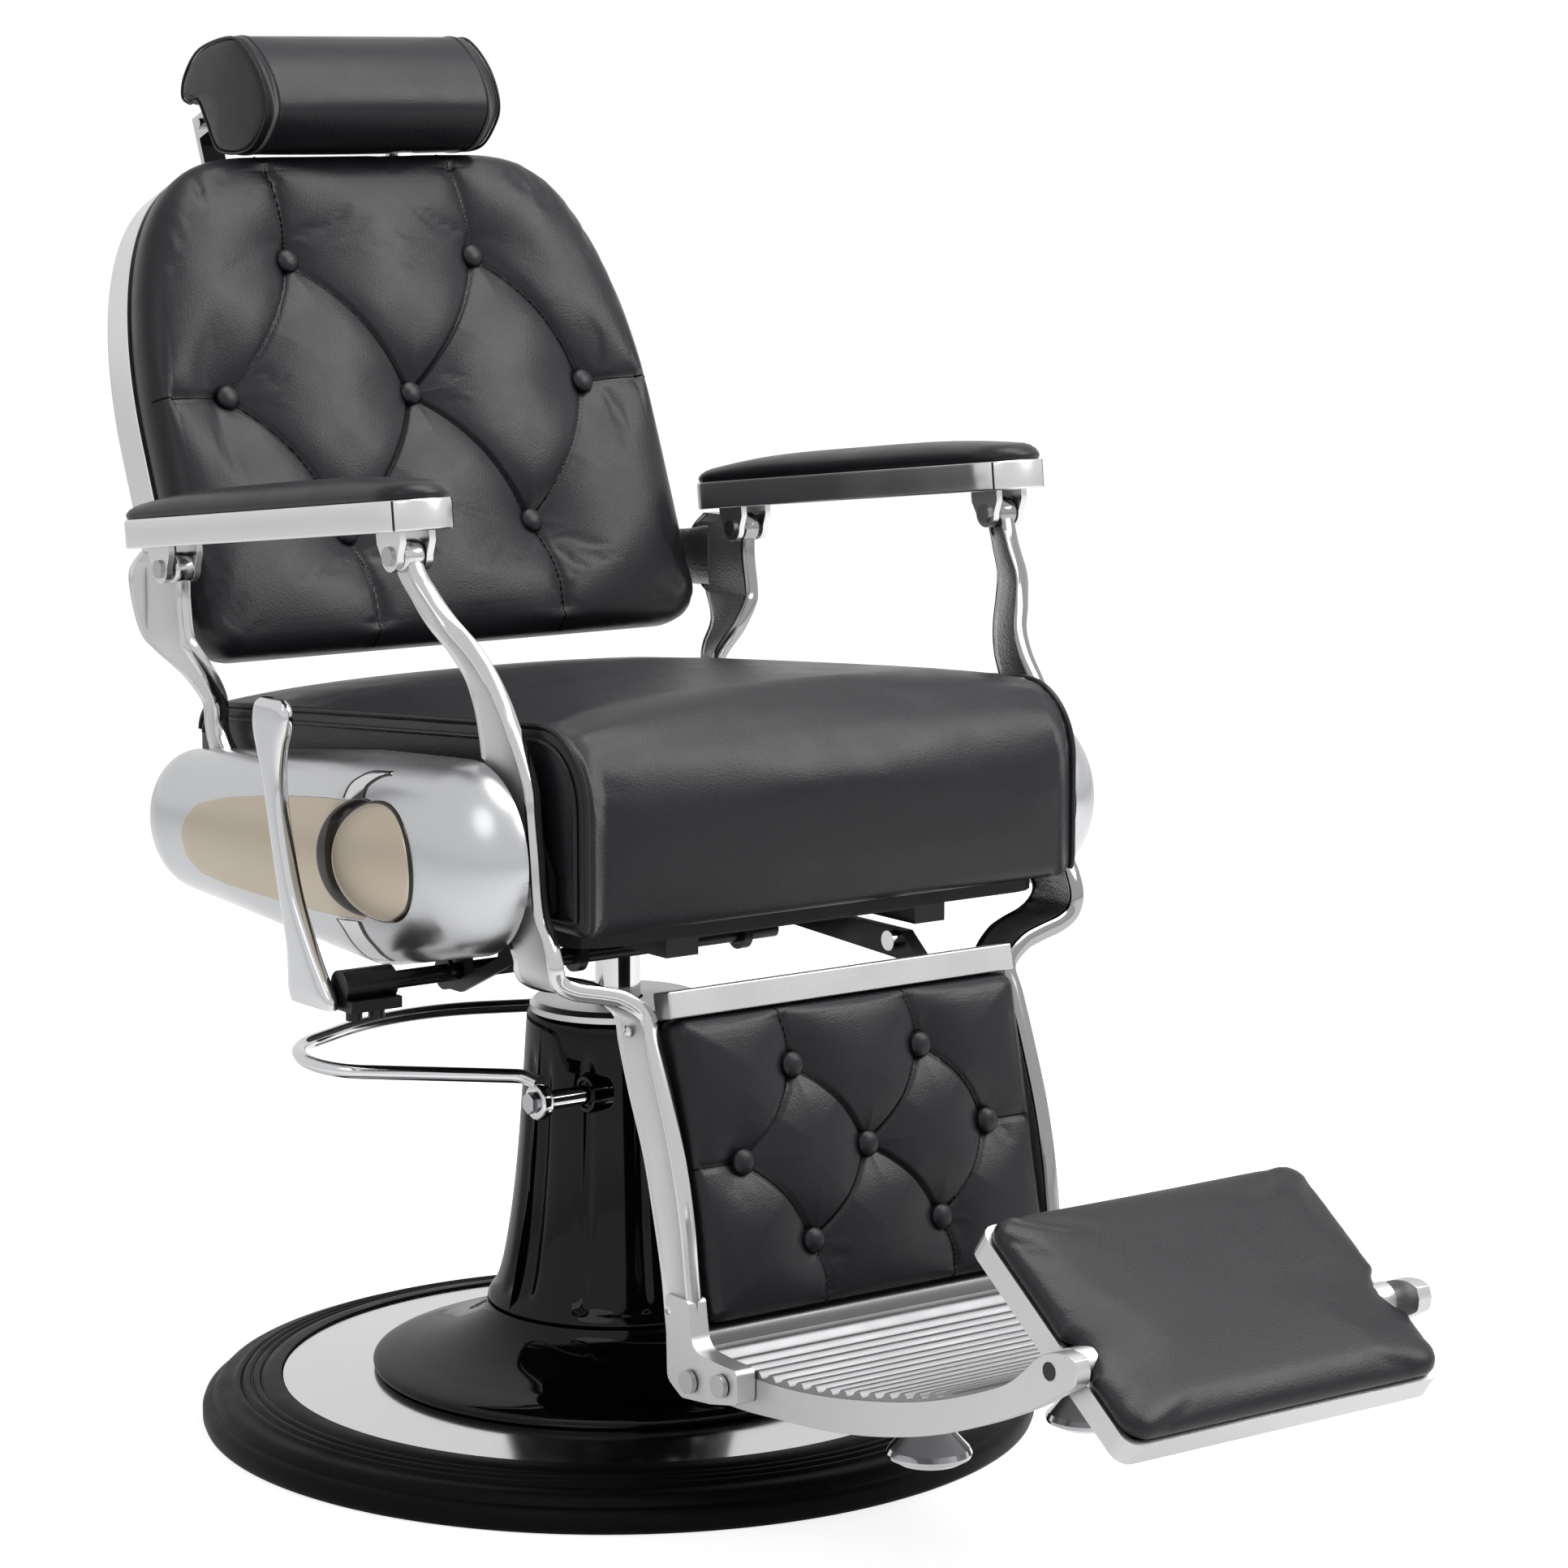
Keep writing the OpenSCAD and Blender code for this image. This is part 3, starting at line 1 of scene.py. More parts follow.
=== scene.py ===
"""Hydraulic barber chair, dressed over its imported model.

Lengths are millimetres up to the moment a mesh is made. +X is the sitter's left, the chair faces -Y and +Z is
up. Panels such as the backrest have their own axes: x across, v up the panel, n out of its front.
"""
import json
import math
import bpy
import numpy as np
from mathutils.bvhtree import BVHTree
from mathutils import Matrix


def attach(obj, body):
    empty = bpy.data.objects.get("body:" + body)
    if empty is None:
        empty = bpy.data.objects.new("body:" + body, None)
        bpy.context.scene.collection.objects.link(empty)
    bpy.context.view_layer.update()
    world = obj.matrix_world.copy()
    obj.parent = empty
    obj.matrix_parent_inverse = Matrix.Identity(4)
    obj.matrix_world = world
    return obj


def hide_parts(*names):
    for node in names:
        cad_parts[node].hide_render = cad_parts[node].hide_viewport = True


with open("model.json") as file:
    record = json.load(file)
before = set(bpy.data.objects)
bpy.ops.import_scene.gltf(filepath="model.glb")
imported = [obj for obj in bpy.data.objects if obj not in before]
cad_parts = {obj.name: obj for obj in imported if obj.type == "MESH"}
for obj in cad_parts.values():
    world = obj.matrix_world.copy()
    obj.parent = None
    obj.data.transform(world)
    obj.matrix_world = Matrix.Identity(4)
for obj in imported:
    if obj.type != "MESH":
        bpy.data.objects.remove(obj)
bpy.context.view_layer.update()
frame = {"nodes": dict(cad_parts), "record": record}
MM = 0.001

# Seat and linkage, as in the construction
FRONT_PIVOT = (-248, 498)
REAR_PIVOT = (111, 457)
CRANK = (104, 250)
POST_X, ARM_X, REAR_TOP_X = 252, 287, 285
POST_T = 14
SEAT_HALF = 238
BACK_HALF, BACK_RISE, SHELL_BACK, SHELL_FRONT = 251, 221, -70, -28
HEAD_HALF = 122
LEG_IN, LEG_T = 166, 18
STEP_HALF, CHEEK_T = 165.7, 13
FLIP = (-762, 237)
HOUSING_X = 264
PEDAL_Y, PEDAL_Z = -52, 286

# Panels: where each begins, and the angle from the floor to its v axis
BACK_PANEL = ((320, 830), 68)
CALF_PANEL = ((-338, 291), 78)
TRAY_PANEL = (FLIP, 36)
ARM_PANEL = ((-144, 748), -6.515)
ARM_MID, ARM_HALF = 184.5, 224.5

BACK_BUTTONS = [(-94, 124), (94, 124), (-180, 4), (0, 0), (180, 4), (-94, -121), (94, -121)]
CALF_BUTTONS = [(-62, 69), (62, 69), (-118, 2), (0, 0), (118, 2), (-62, -66), (62, -66)]


# ---- camera and stage ----

def add(name, data):
    """New object at the origin, in the scene."""
    obj = bpy.data.objects.new(name, data)
    bpy.context.scene.collection.objects.link(obj)
    return obj


def make_camera():
    """Camera with a long lens, tipped down a little."""
    image, focal = 1932, 5616
    data = bpy.data.cameras.new("camera")
    data.sensor_width = 36
    data.lens = focal / image * data.sensor_width
    data.clip_end = 200
    camera = add("camera", data)
    camera.location = (-2.083, -3.0674, 1.1103)
    camera.rotation_euler = (math.radians(90 - 8.92), 0, math.radians(-36.31))
    bpy.context.scene.camera = camera


def area_light(name, place, size, power):
    """Soft round lamp at a place in metres, turned to the chair's middle."""
    data = bpy.data.lights.new(name, "AREA")
    data.shape = "DISK"
    data.size = size
    data.energy = power
    lamp = add(name, data)
    lamp.location = place
    x, y, z = np.array(place) - (0, 0, 0.6)
    lamp.rotation_euler = (math.atan2(math.hypot(x, y), z), 0, math.atan2(x, -y))


def node(tree, kind, inputs=None, **settings):
    """New shader node; each input is set to a value, or linked to another node's socket."""
    made = tree.nodes.new("ShaderNode" + kind)
    for key, value in settings.items():
        setattr(made, key, value)
    for key, value in (inputs or {}).items():
        if isinstance(value, bpy.types.NodeSocket):
            tree.links.new(value, made.inputs[key])
        else:
            made.inputs[key].default_value = value
    return made


def maths(tree, operation, *values):
    """Result of a Math node on values or sockets."""
    return node(tree, "Math", dict(enumerate(values)), operation=operation).outputs[0]


def bare_tree(owner):
    """Emptied node tree of a world or a material, and its light path's sockets."""
    owner.use_nodes = True
    owner.node_tree.nodes.clear()
    return owner.node_tree, node(owner.node_tree, "LightPath").outputs


def make_stage():
    """White room: a pale floor that keeps the shadow, and a world that is white where it is seen."""
    world = bpy.data.worlds.new("studio")
    bpy.context.scene.world = world
    tree, path = bare_tree(world)
    seen = maths(tree, "MAXIMUM", path["Is Camera Ray"], path["Is Glossy Ray"])
    seen = maths(tree, "MAXIMUM", seen, path["Is Transmission Ray"])
    light = node(tree, "Background", {"Color": (1, 1, 1, 1), "Strength": 0.26})
    white = node(tree, "Background", {"Color": (1, 1, 1, 1)})
    mix = node(tree, "MixShader", {0: seen, 1: light.outputs[0], 2: white.outputs[0]})
    node(tree, "OutputWorld", {"Surface": mix.outputs[0]})

    floor_mat = bpy.data.materials.new("floor")
    tree, path = bare_tree(floor_mat)
    seen = maths(tree, "MULTIPLY", path["Is Camera Ray"], 0.80)
    seen = maths(tree, "MULTIPLY_ADD", path["Is Glossy Ray"], 0.55, seen)
    paint = node(tree, "BsdfDiffuse", {"Color": (0.86, 0.86, 0.86, 1)})
    glow = node(tree, "Emission", {"Strength": seen})
    mix = node(tree, "AddShader", {0: paint.outputs[0], 1: glow.outputs[0]})
    node(tree, "OutputMaterial", {"Surface": mix.outputs[0]})
    reach = 80
    data = bpy.data.meshes.new("floor")
    data.from_pydata([(x * reach, y * reach, 0) for x, y in ((-1, -1), (1, -1), (1, 1), (-1, 1))], [],
                     [(0, 1, 2, 3)])
    data.materials.append(floor_mat)
    floor = add("floor", data)

    area_light("key", (2.2, -2.4, 3.0), 2.3, 88)
    area_light("overhead", (0.7, -0.6, 3.5), 2.2, 64)
    area_light("fill", (-2.6, -1.6, 3.0), 2.0, 12)
    bpy.context.scene.view_settings.view_transform = "Standard"


# ---- curves and outlines ----

def arc(start, end, count):
    """Points [cosine, sine] of a circle of radius 1, from one angle in degrees to another."""
    a = np.radians(np.linspace(start, end, count))
    return np.column_stack([np.cos(a), np.sin(a)])


def circle(count):
    """Points of a whole circle of radius 1."""
    return arc(0, 360, count + 1)[:-1]


def unit(vectors):
    """Vectors with their length made 1."""
    return vectors / np.maximum(np.linalg.norm(vectors, axis=-1, keepdims=True), 1e-9)


def squarish(count, power):
    """Circle whose cosine and sine keep their sign and are raised to a power, which squares it up below 1."""
    c = circle(count)
    return np.sign(c) * np.abs(c) ** power


def level(ring, height):
    """Ring of two columns with its height as a third."""
    return np.column_stack([ring, np.full(len(ring), height)])


def across(x, outline):
    """Outline of [y, z] at x, which is one number or one for each point."""
    return np.column_stack([np.broadcast_to(x, len(outline)), outline])


def curve(rows, count, closed=False):
    """Catmull-Rom spline through rows: between two rows each column is the cubic whose slope at a row is half
    the difference of its neighbours. Returns count rows, evenly spaced in the parameter."""
    p = np.asarray(rows, float)
    last = len(p) - 1
    t = np.arange(count) * len(p) / count if closed else np.linspace(0, last, count)
    i = np.minimum(np.floor(t).astype(int), last if closed else last - 1)
    before, here, after, beyond = (p[(i + k) % len(p) if closed else np.clip(i + k, 0, last)]
                                   for k in range(-1, 3))
    f = (t - i)[:, None]
    return 0.5 * (2 * here + (after - before) * f + (2 * before - 5 * here + 4 * after - beyond) * f ** 2
                  + (3 * here - before - 3 * after + beyond) * f ** 3)


def even(points, count, closed=False):
    """The same path with points at even distances along it."""
    p = np.asarray(points, float)
    if closed:
        p = np.vstack([p, p[:1]])
    along = np.concatenate([[0], np.cumsum(np.linalg.norm(np.diff(p, axis=0), axis=1))])
    at = np.linspace(0, along[-1], count, endpoint=not closed)
    return np.stack([np.interp(at, along, p[:, k]) for k in range(p.shape[1])], axis=1)


def rounded(corners, closed=False, steps=9):
    """Path of straight runs whose corners [a, b, radius] are arcs that touch both runs."""
    path = [np.array(c[:2], float) for c in corners]
    out = []
    for i, (here, (*_, radius)) in enumerate(zip(path, corners)):
        if radius == 0 or (not closed and i in (0, len(path) - 1)):
            out.append(here)
            continue
        u, v = unit(path[i - 1] - here), unit(path[(i + 1) % len(path)] - here)
        half = math.acos(np.clip(u @ v, -1, 1)) / 2
        centre = here + unit(u + v) * radius / math.sin(half)
        first = here + u * radius / math.tan(half) - centre
        turn = np.sign(u[1] * v[0] - u[0] * v[1]) * (math.pi - 2 * half) * np.arange(steps + 1) / steps
        cos, sin = np.cos(turn), np.sin(turn)
        out.extend(centre + np.stack([cos * first[0] - sin * first[1], sin * first[0] + cos * first[1]],
                                     axis=1))
    return np.array(out)


def inward(outline, distance):
    """Closed outline moved inwards, each point along its normal; the outline's area sets which side is in."""
    ahead, behind = np.roll(outline, -1, axis=0), np.roll(outline, 1, axis=0)
    along = unit(ahead - behind)
    area = np.sum(outline[:, 0] * ahead[:, 1] - ahead[:, 0] * outline[:, 1])
    left = np.stack([-along[:, 1], along[:, 0]], axis=1)
    return outline + np.sign(area) * left * np.asarray(distance, float).reshape(-1, 1)


def on_panel(panel, points):
    """Points [x, v, n] of a tilted panel as [x, y, z]: v is turned up from the floor by the panel's angle."""
    (y0, z0), angle = panel
    c, s = arc(angle, angle, 1)[0]
    p = np.asarray(points, float)
    return np.stack([p[..., 0], y0 + p[..., 1] * c - p[..., 2] * s, z0 + p[..., 1] * s + p[..., 2] * c],
                    axis=-1)


# ---- surfaces; each returns (points, faces) with its faces outwards ----

def outwards(points, faces):
    """Turns every face round if the solid's volume, summed over the fans of its faces, comes out negative."""
    total = 0.0
    for size in {len(f) for f in faces}:
        corners = (points - points.mean(axis=0))[[f for f in faces if len(f) == size]]
        for k in range(1, size - 1):
            total += np.sum(corners[:, 0] * np.cross(corners[:, k], corners[:, k + 1]))
    return points, faces if total > 0 else [f[::-1] for f in faces]


def skin(rings, wrap=False):
    """Surface over closed rings with as many points each. Its ends are closed by fans, or it wraps round."""
    rings = np.asarray(rings, float)
    m, n = rings.shape[:2]
    points = rings.reshape(-1, 3)
    low = np.arange(m * n).reshape(m, n)
    up = np.roll(low, -1, axis=0)
    first, last = low[0], low[-1]
    if not wrap:
        low, up = low[:-1], up[:-1]
    faces = np.stack([low, np.roll(low, -1, axis=1), np.roll(up, -1, axis=1), up], axis=-1)
    faces = faces.reshape(-1, 4).tolist()
    if not wrap:
        points = np.vstack([points, rings[0].mean(axis=0), rings[-1].mean(axis=0)])
        faces += np.stack([np.roll(first, -1), first, np.full(n, m * n)], axis=1).tolist()
        faces += np.stack([last, np.roll(last, -1), np.full(n, m * n + 1)], axis=1).tolist()
    return outwards(points, faces)


def lathe(profile, steps=96, along="z", centre=(0, 0, 0), wrap=False):
    """Profile rows [radius, height] turned round an axis through a centre."""
    r, h = np.asarray(profile, float).T[:, :, None]
    u, v = r * circle(steps)[:, 0], r * circle(steps)[:, 1]
    h = np.repeat(h, steps, axis=1)
    axes = {"z": (u, v, h), "x": (h, u, v)}[along]
    return skin(np.stack(axes, axis=-1) + np.array(centre, float), wrap)


def plate(outline, low, high):
    """Flat piece with this outline of [y, z], from low to high along X."""
    n = len(outline)
    j = np.arange(n)
    sides = np.stack([j, (j + 1) % n, n + (j + 1) % n, n + j], axis=1).tolist()
    return outwards(np.vstack([across(low, outline), across(high, outline)]),
                    sides + [j[::-1].tolist(), (n + j).tolist()])


def tube(path, radius, sides=12, closed=False):
    """Round bar along a path: at each point a circle square to the path."""
    p = np.asarray(path, float)
    along = unit(np.roll(p, -1, axis=0) - np.roll(p, 1, axis=0) if closed else np.gradient(p, axis=0))
    side = unit(np.cross(along, np.linalg.svd(p - p.mean(axis=0), full_matrices=True)[2][2]))
    cos, sin = circle(sides).T[:, None, :, None]
    ring = cos * side[:, None, :] + sin * np.cross(side, along)[:, None, :]
    return skin(p[:, None, :] + radius * ring, closed)


def mirrored(part):
    """The same piece on the other side of the chair."""
    points, faces = part
    return points * [-1, 1, 1], [f[::-1] for f in faces]


def sided(side, parts):
    """Parts drawn for the left side, or their mirror images for the right."""
    return parts if side > 0 else [mirrored(p) for p in parts]


def both(parts):
    """Parts of the left side after their mirror images."""
    return [mirrored(p) for p in parts] + parts


def piece(name, parts, material, body, replaces=(), bevel=0.0, segments=2, crease=38, polish=None):
    """One object from several closed parts, with rounded edges where bevel is given, riding on a body."""
    points, faces, start = [], [], 0
    for part in parts:
        points.append(part[0])
        faces += [[i + start for i in f] for f in part[1]]
        start += len(part[0])
    data = bpy.data.meshes.new(name)
    data.from_pydata((np.vstack(points) * MM).tolist(), [], faces)
    data.validate()
    data.shade_smooth()
    data.materials.append(material)
    obj = add(name, data)
    if polish is not None:
        mask = data.attributes.new("polish", "FLOAT", "POINT").data
        mask.foreach_set("value", np.asarray(polish, np.float32))
    if bevel:
        rounding = obj.modifiers.new("rounding", "BEVEL")
        rounding.width = bevel * MM
        rounding.segments = segments
        rounding.limit_method = "ANGLE"
        rounding.angle_limit = math.radians(crease)
        rounding.harden_normals = True
    else:
        data.set_sharp_from_angle(angle=math.radians(crease))
    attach(obj, body)
    if replaces:
        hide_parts(*replaces)
    return obj


# ---- materials ----

def node_group(name, inputs, output):
    """Empty shader node group with float inputs (name: default) and one float output."""
    group = bpy.data.node_groups.new(name, "ShaderNodeTree")
    kind = {"socket_type": "NodeSocketFloat"}
    for label, default in inputs.items():
        group.interface.new_socket(label, in_out="INPUT", **kind).default_value = default
    group.interface.new_socket(output, in_out="OUTPUT", **kind)
    return group, group.nodes.new("NodeGroupInput").outputs, group.nodes.new("NodeGroupOutput").inputs[0]


def noise(tree, scale, detail, rough=0.5):
    """Noise on Object coordinates."""
    inputs = {"Vector": node(tree, "TexCoord").outputs["Object"], "Scale": scale, "Detail": detail,
              "Roughness": rough}
    return node(tree, "TexNoise", inputs).outputs["Fac"]


def make_handling():
    """Handling marks: soft patches of wear, given as a roughness between Low and High."""
    group, give, take = node_group("handling marks", {"Scale": 9.0, "Low": 0.1, "High": 0.2}, "Roughness")
    patches = noise(group, give["Scale"], 4.0, 0.6)
    spread = node(group, "MapRange", {"Value": patches, "From Min": 0.3, "From Max": 0.7,
                                      "To Min": give["Low"], "To Max": give["High"]})
    group.links.new(spread.outputs["Result"], take)
    return group


def make_pores():
    """Fine grain: small round pores between creases, as a height."""
    group, give, take = node_group("fine grain", {"Scale": 700.0}, "Height")
    spot = node(group, "TexCoord").outputs["Object"]
    cells = node(group, "TexVoronoi", {"Vector": spot, "Scale": give["Scale"], "Smoothness": 0.6},
                 feature="SMOOTH_F1")
    group.links.new(maths(group, "ADD", cells.outputs["Distance"], noise(group, give["Scale"], 2.0)), take)
    return group


HANDLING = make_handling()
GRAIN = make_pores()


def finish(name, color, metallic, rough, marks=9.0, grain=None, tint=None, coat=0.0, polish=None,
           specular=0.5):
    """Surface with handling marks in its roughness (low, high) and fine grain (scale, depth in mm). A broad
    noise mixes tint in. Where polish is given, the polish attribute takes the roughness there and smooths
    grain."""
    mat = bpy.data.materials.new(name)
    mat.use_nodes = True
    tree = mat.node_tree
    shader = tree.nodes["Principled BSDF"].inputs
    for key, value in {"Base Color": (*color, 1), "Metallic": metallic, "Specular IOR Level": specular,
                       "Coat Weight": coat, "Coat Roughness": 0.05}.items():
        shader[key].default_value = value
    wear = node(tree, "Group", {"Scale": marks, "Low": rough[0], "High": rough[1]}, node_tree=HANDLING)
    roughness = wear.outputs["Roughness"]
    if polish is not None:
        mask = node(tree, "Attribute", attribute_name="polish").outputs["Fac"]
        roughness = node(tree, "Mix", {"Factor": mask, "A": roughness, "B": polish}).outputs["Result"]
    tree.links.new(roughness, shader["Roughness"])
    if tint is not None:
        colors = node(tree, "Mix", {"Factor": noise(tree, 14.0, 4.0), "A": (*color, 1), "B": (*tint, 1)},
                      data_type="RGBA")
        tree.links.new(colors.outputs["Result"], shader["Base Color"])
    if grain is not None:
        scale, depth = grain
        height = node(tree, "Group", {"Scale": scale}, node_tree=GRAIN).outputs["Height"]
        if polish is not None:
            height = maths(tree, "MULTIPLY", maths(tree, "SUBTRACT", 1.0, mask), height)
        bump = node(tree, "Bump", {"Strength": 1.0, "Distance": depth * MM, "Height": height})
        tree.links.new(bump.outputs["Normal"], shader["Normal"])
    return mat


CHROME = finish("polished chrome", (0.57, 0.575, 0.585), 1, (0.05, 0.12), marks=7)
BUBBLE = finish("soft chrome", (0.49, 0.495, 0.505), 1, (0.22, 0.30), marks=5)
RIM = finish("polished alloy", (0.62, 0.62, 0.63), 1, (0.26, 0.34), marks=9)
CAST = finish("satin cast alloy", (0.52, 0.52, 0.525), 1, (0.40, 0.50), marks=16, grain=(900, 0.12),
              polish=0.12)
# Darker copy of the cast alloy for the left castings, on the far side: painted shade and painted reflection
# of the dark seat.
CAST_PAINTED_SHADE = finish("cast alloy, painted shade", (0.30, 0.30, 0.305), 1, (0.40, 0.52), marks=16, grain=(500, 0.3),
                   polish=0.12)
SATIN = finish("satin alloy", (0.48, 0.48, 0.485), 1, (0.34, 0.44), marks=16, grain=(1200, 0.05))
TREAD_ALLOY = finish("ribbed alloy", (0.22, 0.22, 0.225), 1, (0.40, 0.50), marks=16)
# Near-black bars laid in the seams' creases: painted shade.
SEAM_SHADE = finish("painted seam shade", (0.002, 0.002, 0.0022), 0, (0.5, 0.6), specular=0.05)
DISC_STEEL = finish("mirror steel", (0.56, 0.56, 0.565), 1, (0.10, 0.20), marks=4)
LEATHER = finish("black leather", (0.0066, 0.0072, 0.0092), 0, (0.33, 0.41), marks=24, grain=(620, 0.10),
                 tint=(0.0100, 0.0106, 0.0126), specular=0.28)
GLOSS = finish("gloss black paint", (0.003, 0.003, 0.004), 0, (0.08, 0.15), marks=8, coat=0.4, specular=0.0)
SEMI = finish("black steel", (0.008, 0.008, 0.009), 0, (0.22, 0.36), marks=18, specular=0.25)
RUBBER = finish("black rubber", (0.004, 0.004, 0.0045), 0, (0.38, 0.5), marks=14, grain=(900, 0.08),
                specular=0.06)
BRONZE = finish("champagne bronze", (0.44, 0.38, 0.30), 1, (0.26, 0.36), marks=10, grain=(1500, 0.02))
# Dark brown for the crescent and the thin ring round each housing's bronze boss: painted shadow.
PAINTED_BOSS_SHADOW = finish("painted shadow of the boss", (0.020, 0.014, 0.010), 0, (0.08, 0.16), marks=10, specular=0.3)
STEEL = finish("machined steel", (0.40, 0.40, 0.41), 1, (0.24, 0.36), marks=30)
PLY = finish("black stained ply", (0.014, 0.013, 0.012), 0, (0.5, 0.65), marks=20, tint=(0.022, 0.020, 0.018),
             specular=0.2)
CAP = finish("grey cap", (0.50, 0.50, 0.51), 1, (0.26, 0.36), marks=12)

SLOT_FINISH = {
    "chrome": CHROME, "satin_alloy": SATIN, "leather": LEATHER, "gloss_black": GLOSS, "black_steel": SEMI,
    "steel": STEEL, "rubber": RUBBER, "bronze": BRONZE, "plywood": PLY, "cap_grey": CAP,
}


def dress_nodes():
    """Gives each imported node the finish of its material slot."""
    for sub in frame["record"]["subparts"]:
        data = frame["nodes"][sub["node"]].data
        data.materials.clear()
        data.materials.append(SLOT_FINISH[sub["material_slot"]])


# ---- soft pieces ----

def coordinates(data):
    """The mesh's points in metres, as an array."""
    out = np.empty(len(data.vertices) * 3, np.float32)
    data.vertices.foreach_get("co", out)
    return out.reshape(-1, 3).astype(float)


def near(places, panel, reach, depth):
    """Test for points, in metres, that lie within reach of a panel's buttons or deeper than a depth."""
    (y0, z0), angle = panel
    c, s = arc(angle, angle, 1)[0]

    def test(points):
        x, y, z = points.T / MM
        v = (y - y0) * c + (z - z0) * s
        n = -(y - y0) * s + (z - z0) * c
        return np.any([np.hypot(x - b[0], v - b[1]) < reach for b in places] + [n < -depth], axis=0)
    return test


def set_points(data, points):
    """Moves a mesh's points to these, in metres."""
    data.vertices.foreach_set("co", points.astype(np.float32).ravel())
    data.update()


def evaluated(obj):
    """The object as its modifiers leave it now."""
    return obj.evaluated_get(bpy.context.evaluated_depsgraph_get())


def swell(obj, held, pressure, cap):
    """Blows a pad up with air. A remeshed copy is simulated as cloth, its moves are capped, and the fine mesh
    follows the copy through a surface deform."""
    scene = bpy.context.scene
    frames = 20
    copy = add(obj.name + "_air", obj.data.copy())
    remesh = copy.modifiers.new("remesh", "REMESH")
    remesh.mode = "VOXEL"
    remesh.voxel_size = 6 * MM
    coarse = bpy.data.meshes.new_from_object(evaluated(copy))
    copy.modifiers.clear()
    copy.data = coarse
    follow = obj.modifiers.new("follow", "SURFACE_DEFORM")
    follow.target = copy
    bpy.context.view_layer.update()
    with bpy.context.temp_override(object=obj, active_object=obj):
        bpy.ops.object.surfacedeform_bind(modifier=follow.name)
    before = coordinates(coarse)
    copy.vertex_groups.new(name="held").add(np.nonzero(held(before))[0].tolist(), 1.0, "REPLACE")
    cloth = copy.modifiers.new("cloth", "CLOTH")
    for key, value in {"quality": 4, "use_pressure": True, "uniform_pressure_force": pressure,
                       "vertex_group_mass": "held"}.items():
        setattr(cloth.settings, key, value)
    cloth.settings.effector_weights.gravity = 0.0
    cloth.collision_settings.use_collision = False
    cloth.point_cache.frame_start, cloth.point_cache.frame_end = 1, frames
    for number in range(1, frames + 1):
        scene.frame_set(number)
    move = coordinates(evaluated(copy).data) - before
    copy.modifiers.remove(cloth)
    move *= np.minimum(1.0, cap * MM / np.maximum(np.linalg.norm(move, axis=1, keepdims=True), 1e-9))
    set_points(coarse, before + move)
    scene.frame_set(1)
    bpy.context.view_layer.update()
    swollen = coordinates(evaluated(obj).data)
    obj.modifiers.remove(follow)
    set_points(obj.data, swollen)
    bpy.data.objects.remove(copy)


def pad(name, parts, body, replaces, held, pressure, cap, welts=()):
    """Padded leather piece: a closed form, swollen with air, then given its welts."""
    obj = piece(name, parts, LEATHER, body, replaces, crease=180)
    swell(obj, held, pressure, cap)
    if welts:
        piece(name + "_welts", welts, LEATHER, body)
    return obj


def seam_distance(points, seams):
    """Distance of points [x, v] to the nearest of several seams, each of points joined by straight runs."""
    found = []
    for seam in seams:
        run, rel = np.diff(seam, axis=0), points[:, None] - seam[:-1]
        t = np.clip(np.einsum("ijk,jk->ij", rel, run) / np.sum(run * run, axis=1), 0, 1)
        found.append(np.linalg.norm(rel - t[..., None] * run, axis=2).min(axis=1))
    return np.min(found, axis=0)


def bow(a, b, lean, steps=12):
    """Seam from a to b that bows to its left by lean at its middle, as a parabola."""
    a, b = np.array(a, float), np.array(b, float)
    t = np.linspace(0, 1, steps)[:, None]
    side = unit(np.array([-(b - a)[1], (b - a)[0]]))
    return a + (b - a) * t + side * lean * 4 * t * (1 - t)


def tufted_seams(buttons, half, high, lean):
    """Seams of a seven-button panel: diamonds between the buttons, then runs out to the edges."""
    a, b, c, d, e, f, g = buttons
    inner = [bow(*ends, lean) for ends in ((a, d), (b, d), (b, e), (a, c), (c, f), (d, f), (d, g), (e, g))]
    outer = [bow(a, (a[0] - 12, high), -lean / 2), bow(b, (b[0] - 16, high), -lean / 2),
             bow(c, (-half, c[1]), 0), bow(e, (half, e[1]), 0), bow(f, (f[0] + 4, -high), lean),
             bow(g, (g[0] + 4, -high), lean)]
    return inner + outer


def tufted_face(rim, buttons, seams, crown, pull, pull_width, count):
    """Front of a tufted panel over an outline [x, v]: rings shrink to the middle. The height is a crown that
    falls to the rim by the fifth power of the distance, less a pull that fades exponentially from each
    button, a soft valley along each seam and its narrow crease."""
    out = []
    for s in np.linspace(1, 0, count, endpoint=False) ** 0.9:
        q = rim * s
        near_seam = seam_distance(q, seams)
        near_button = np.min([np.linalg.norm(q - np.array(b), axis=1) for b in buttons], axis=0)
        height = (crown - 6 * s ** 5 - pull * np.exp(-(near_button / pull_width) ** 1.25)
                  - 0.22 * crown * np.exp(-(near_seam / 13) ** 1.4) - 2.4 * np.exp(-(near_seam / 1.9) ** 2))
        out.append(np.column_stack([q, height]))
    return out


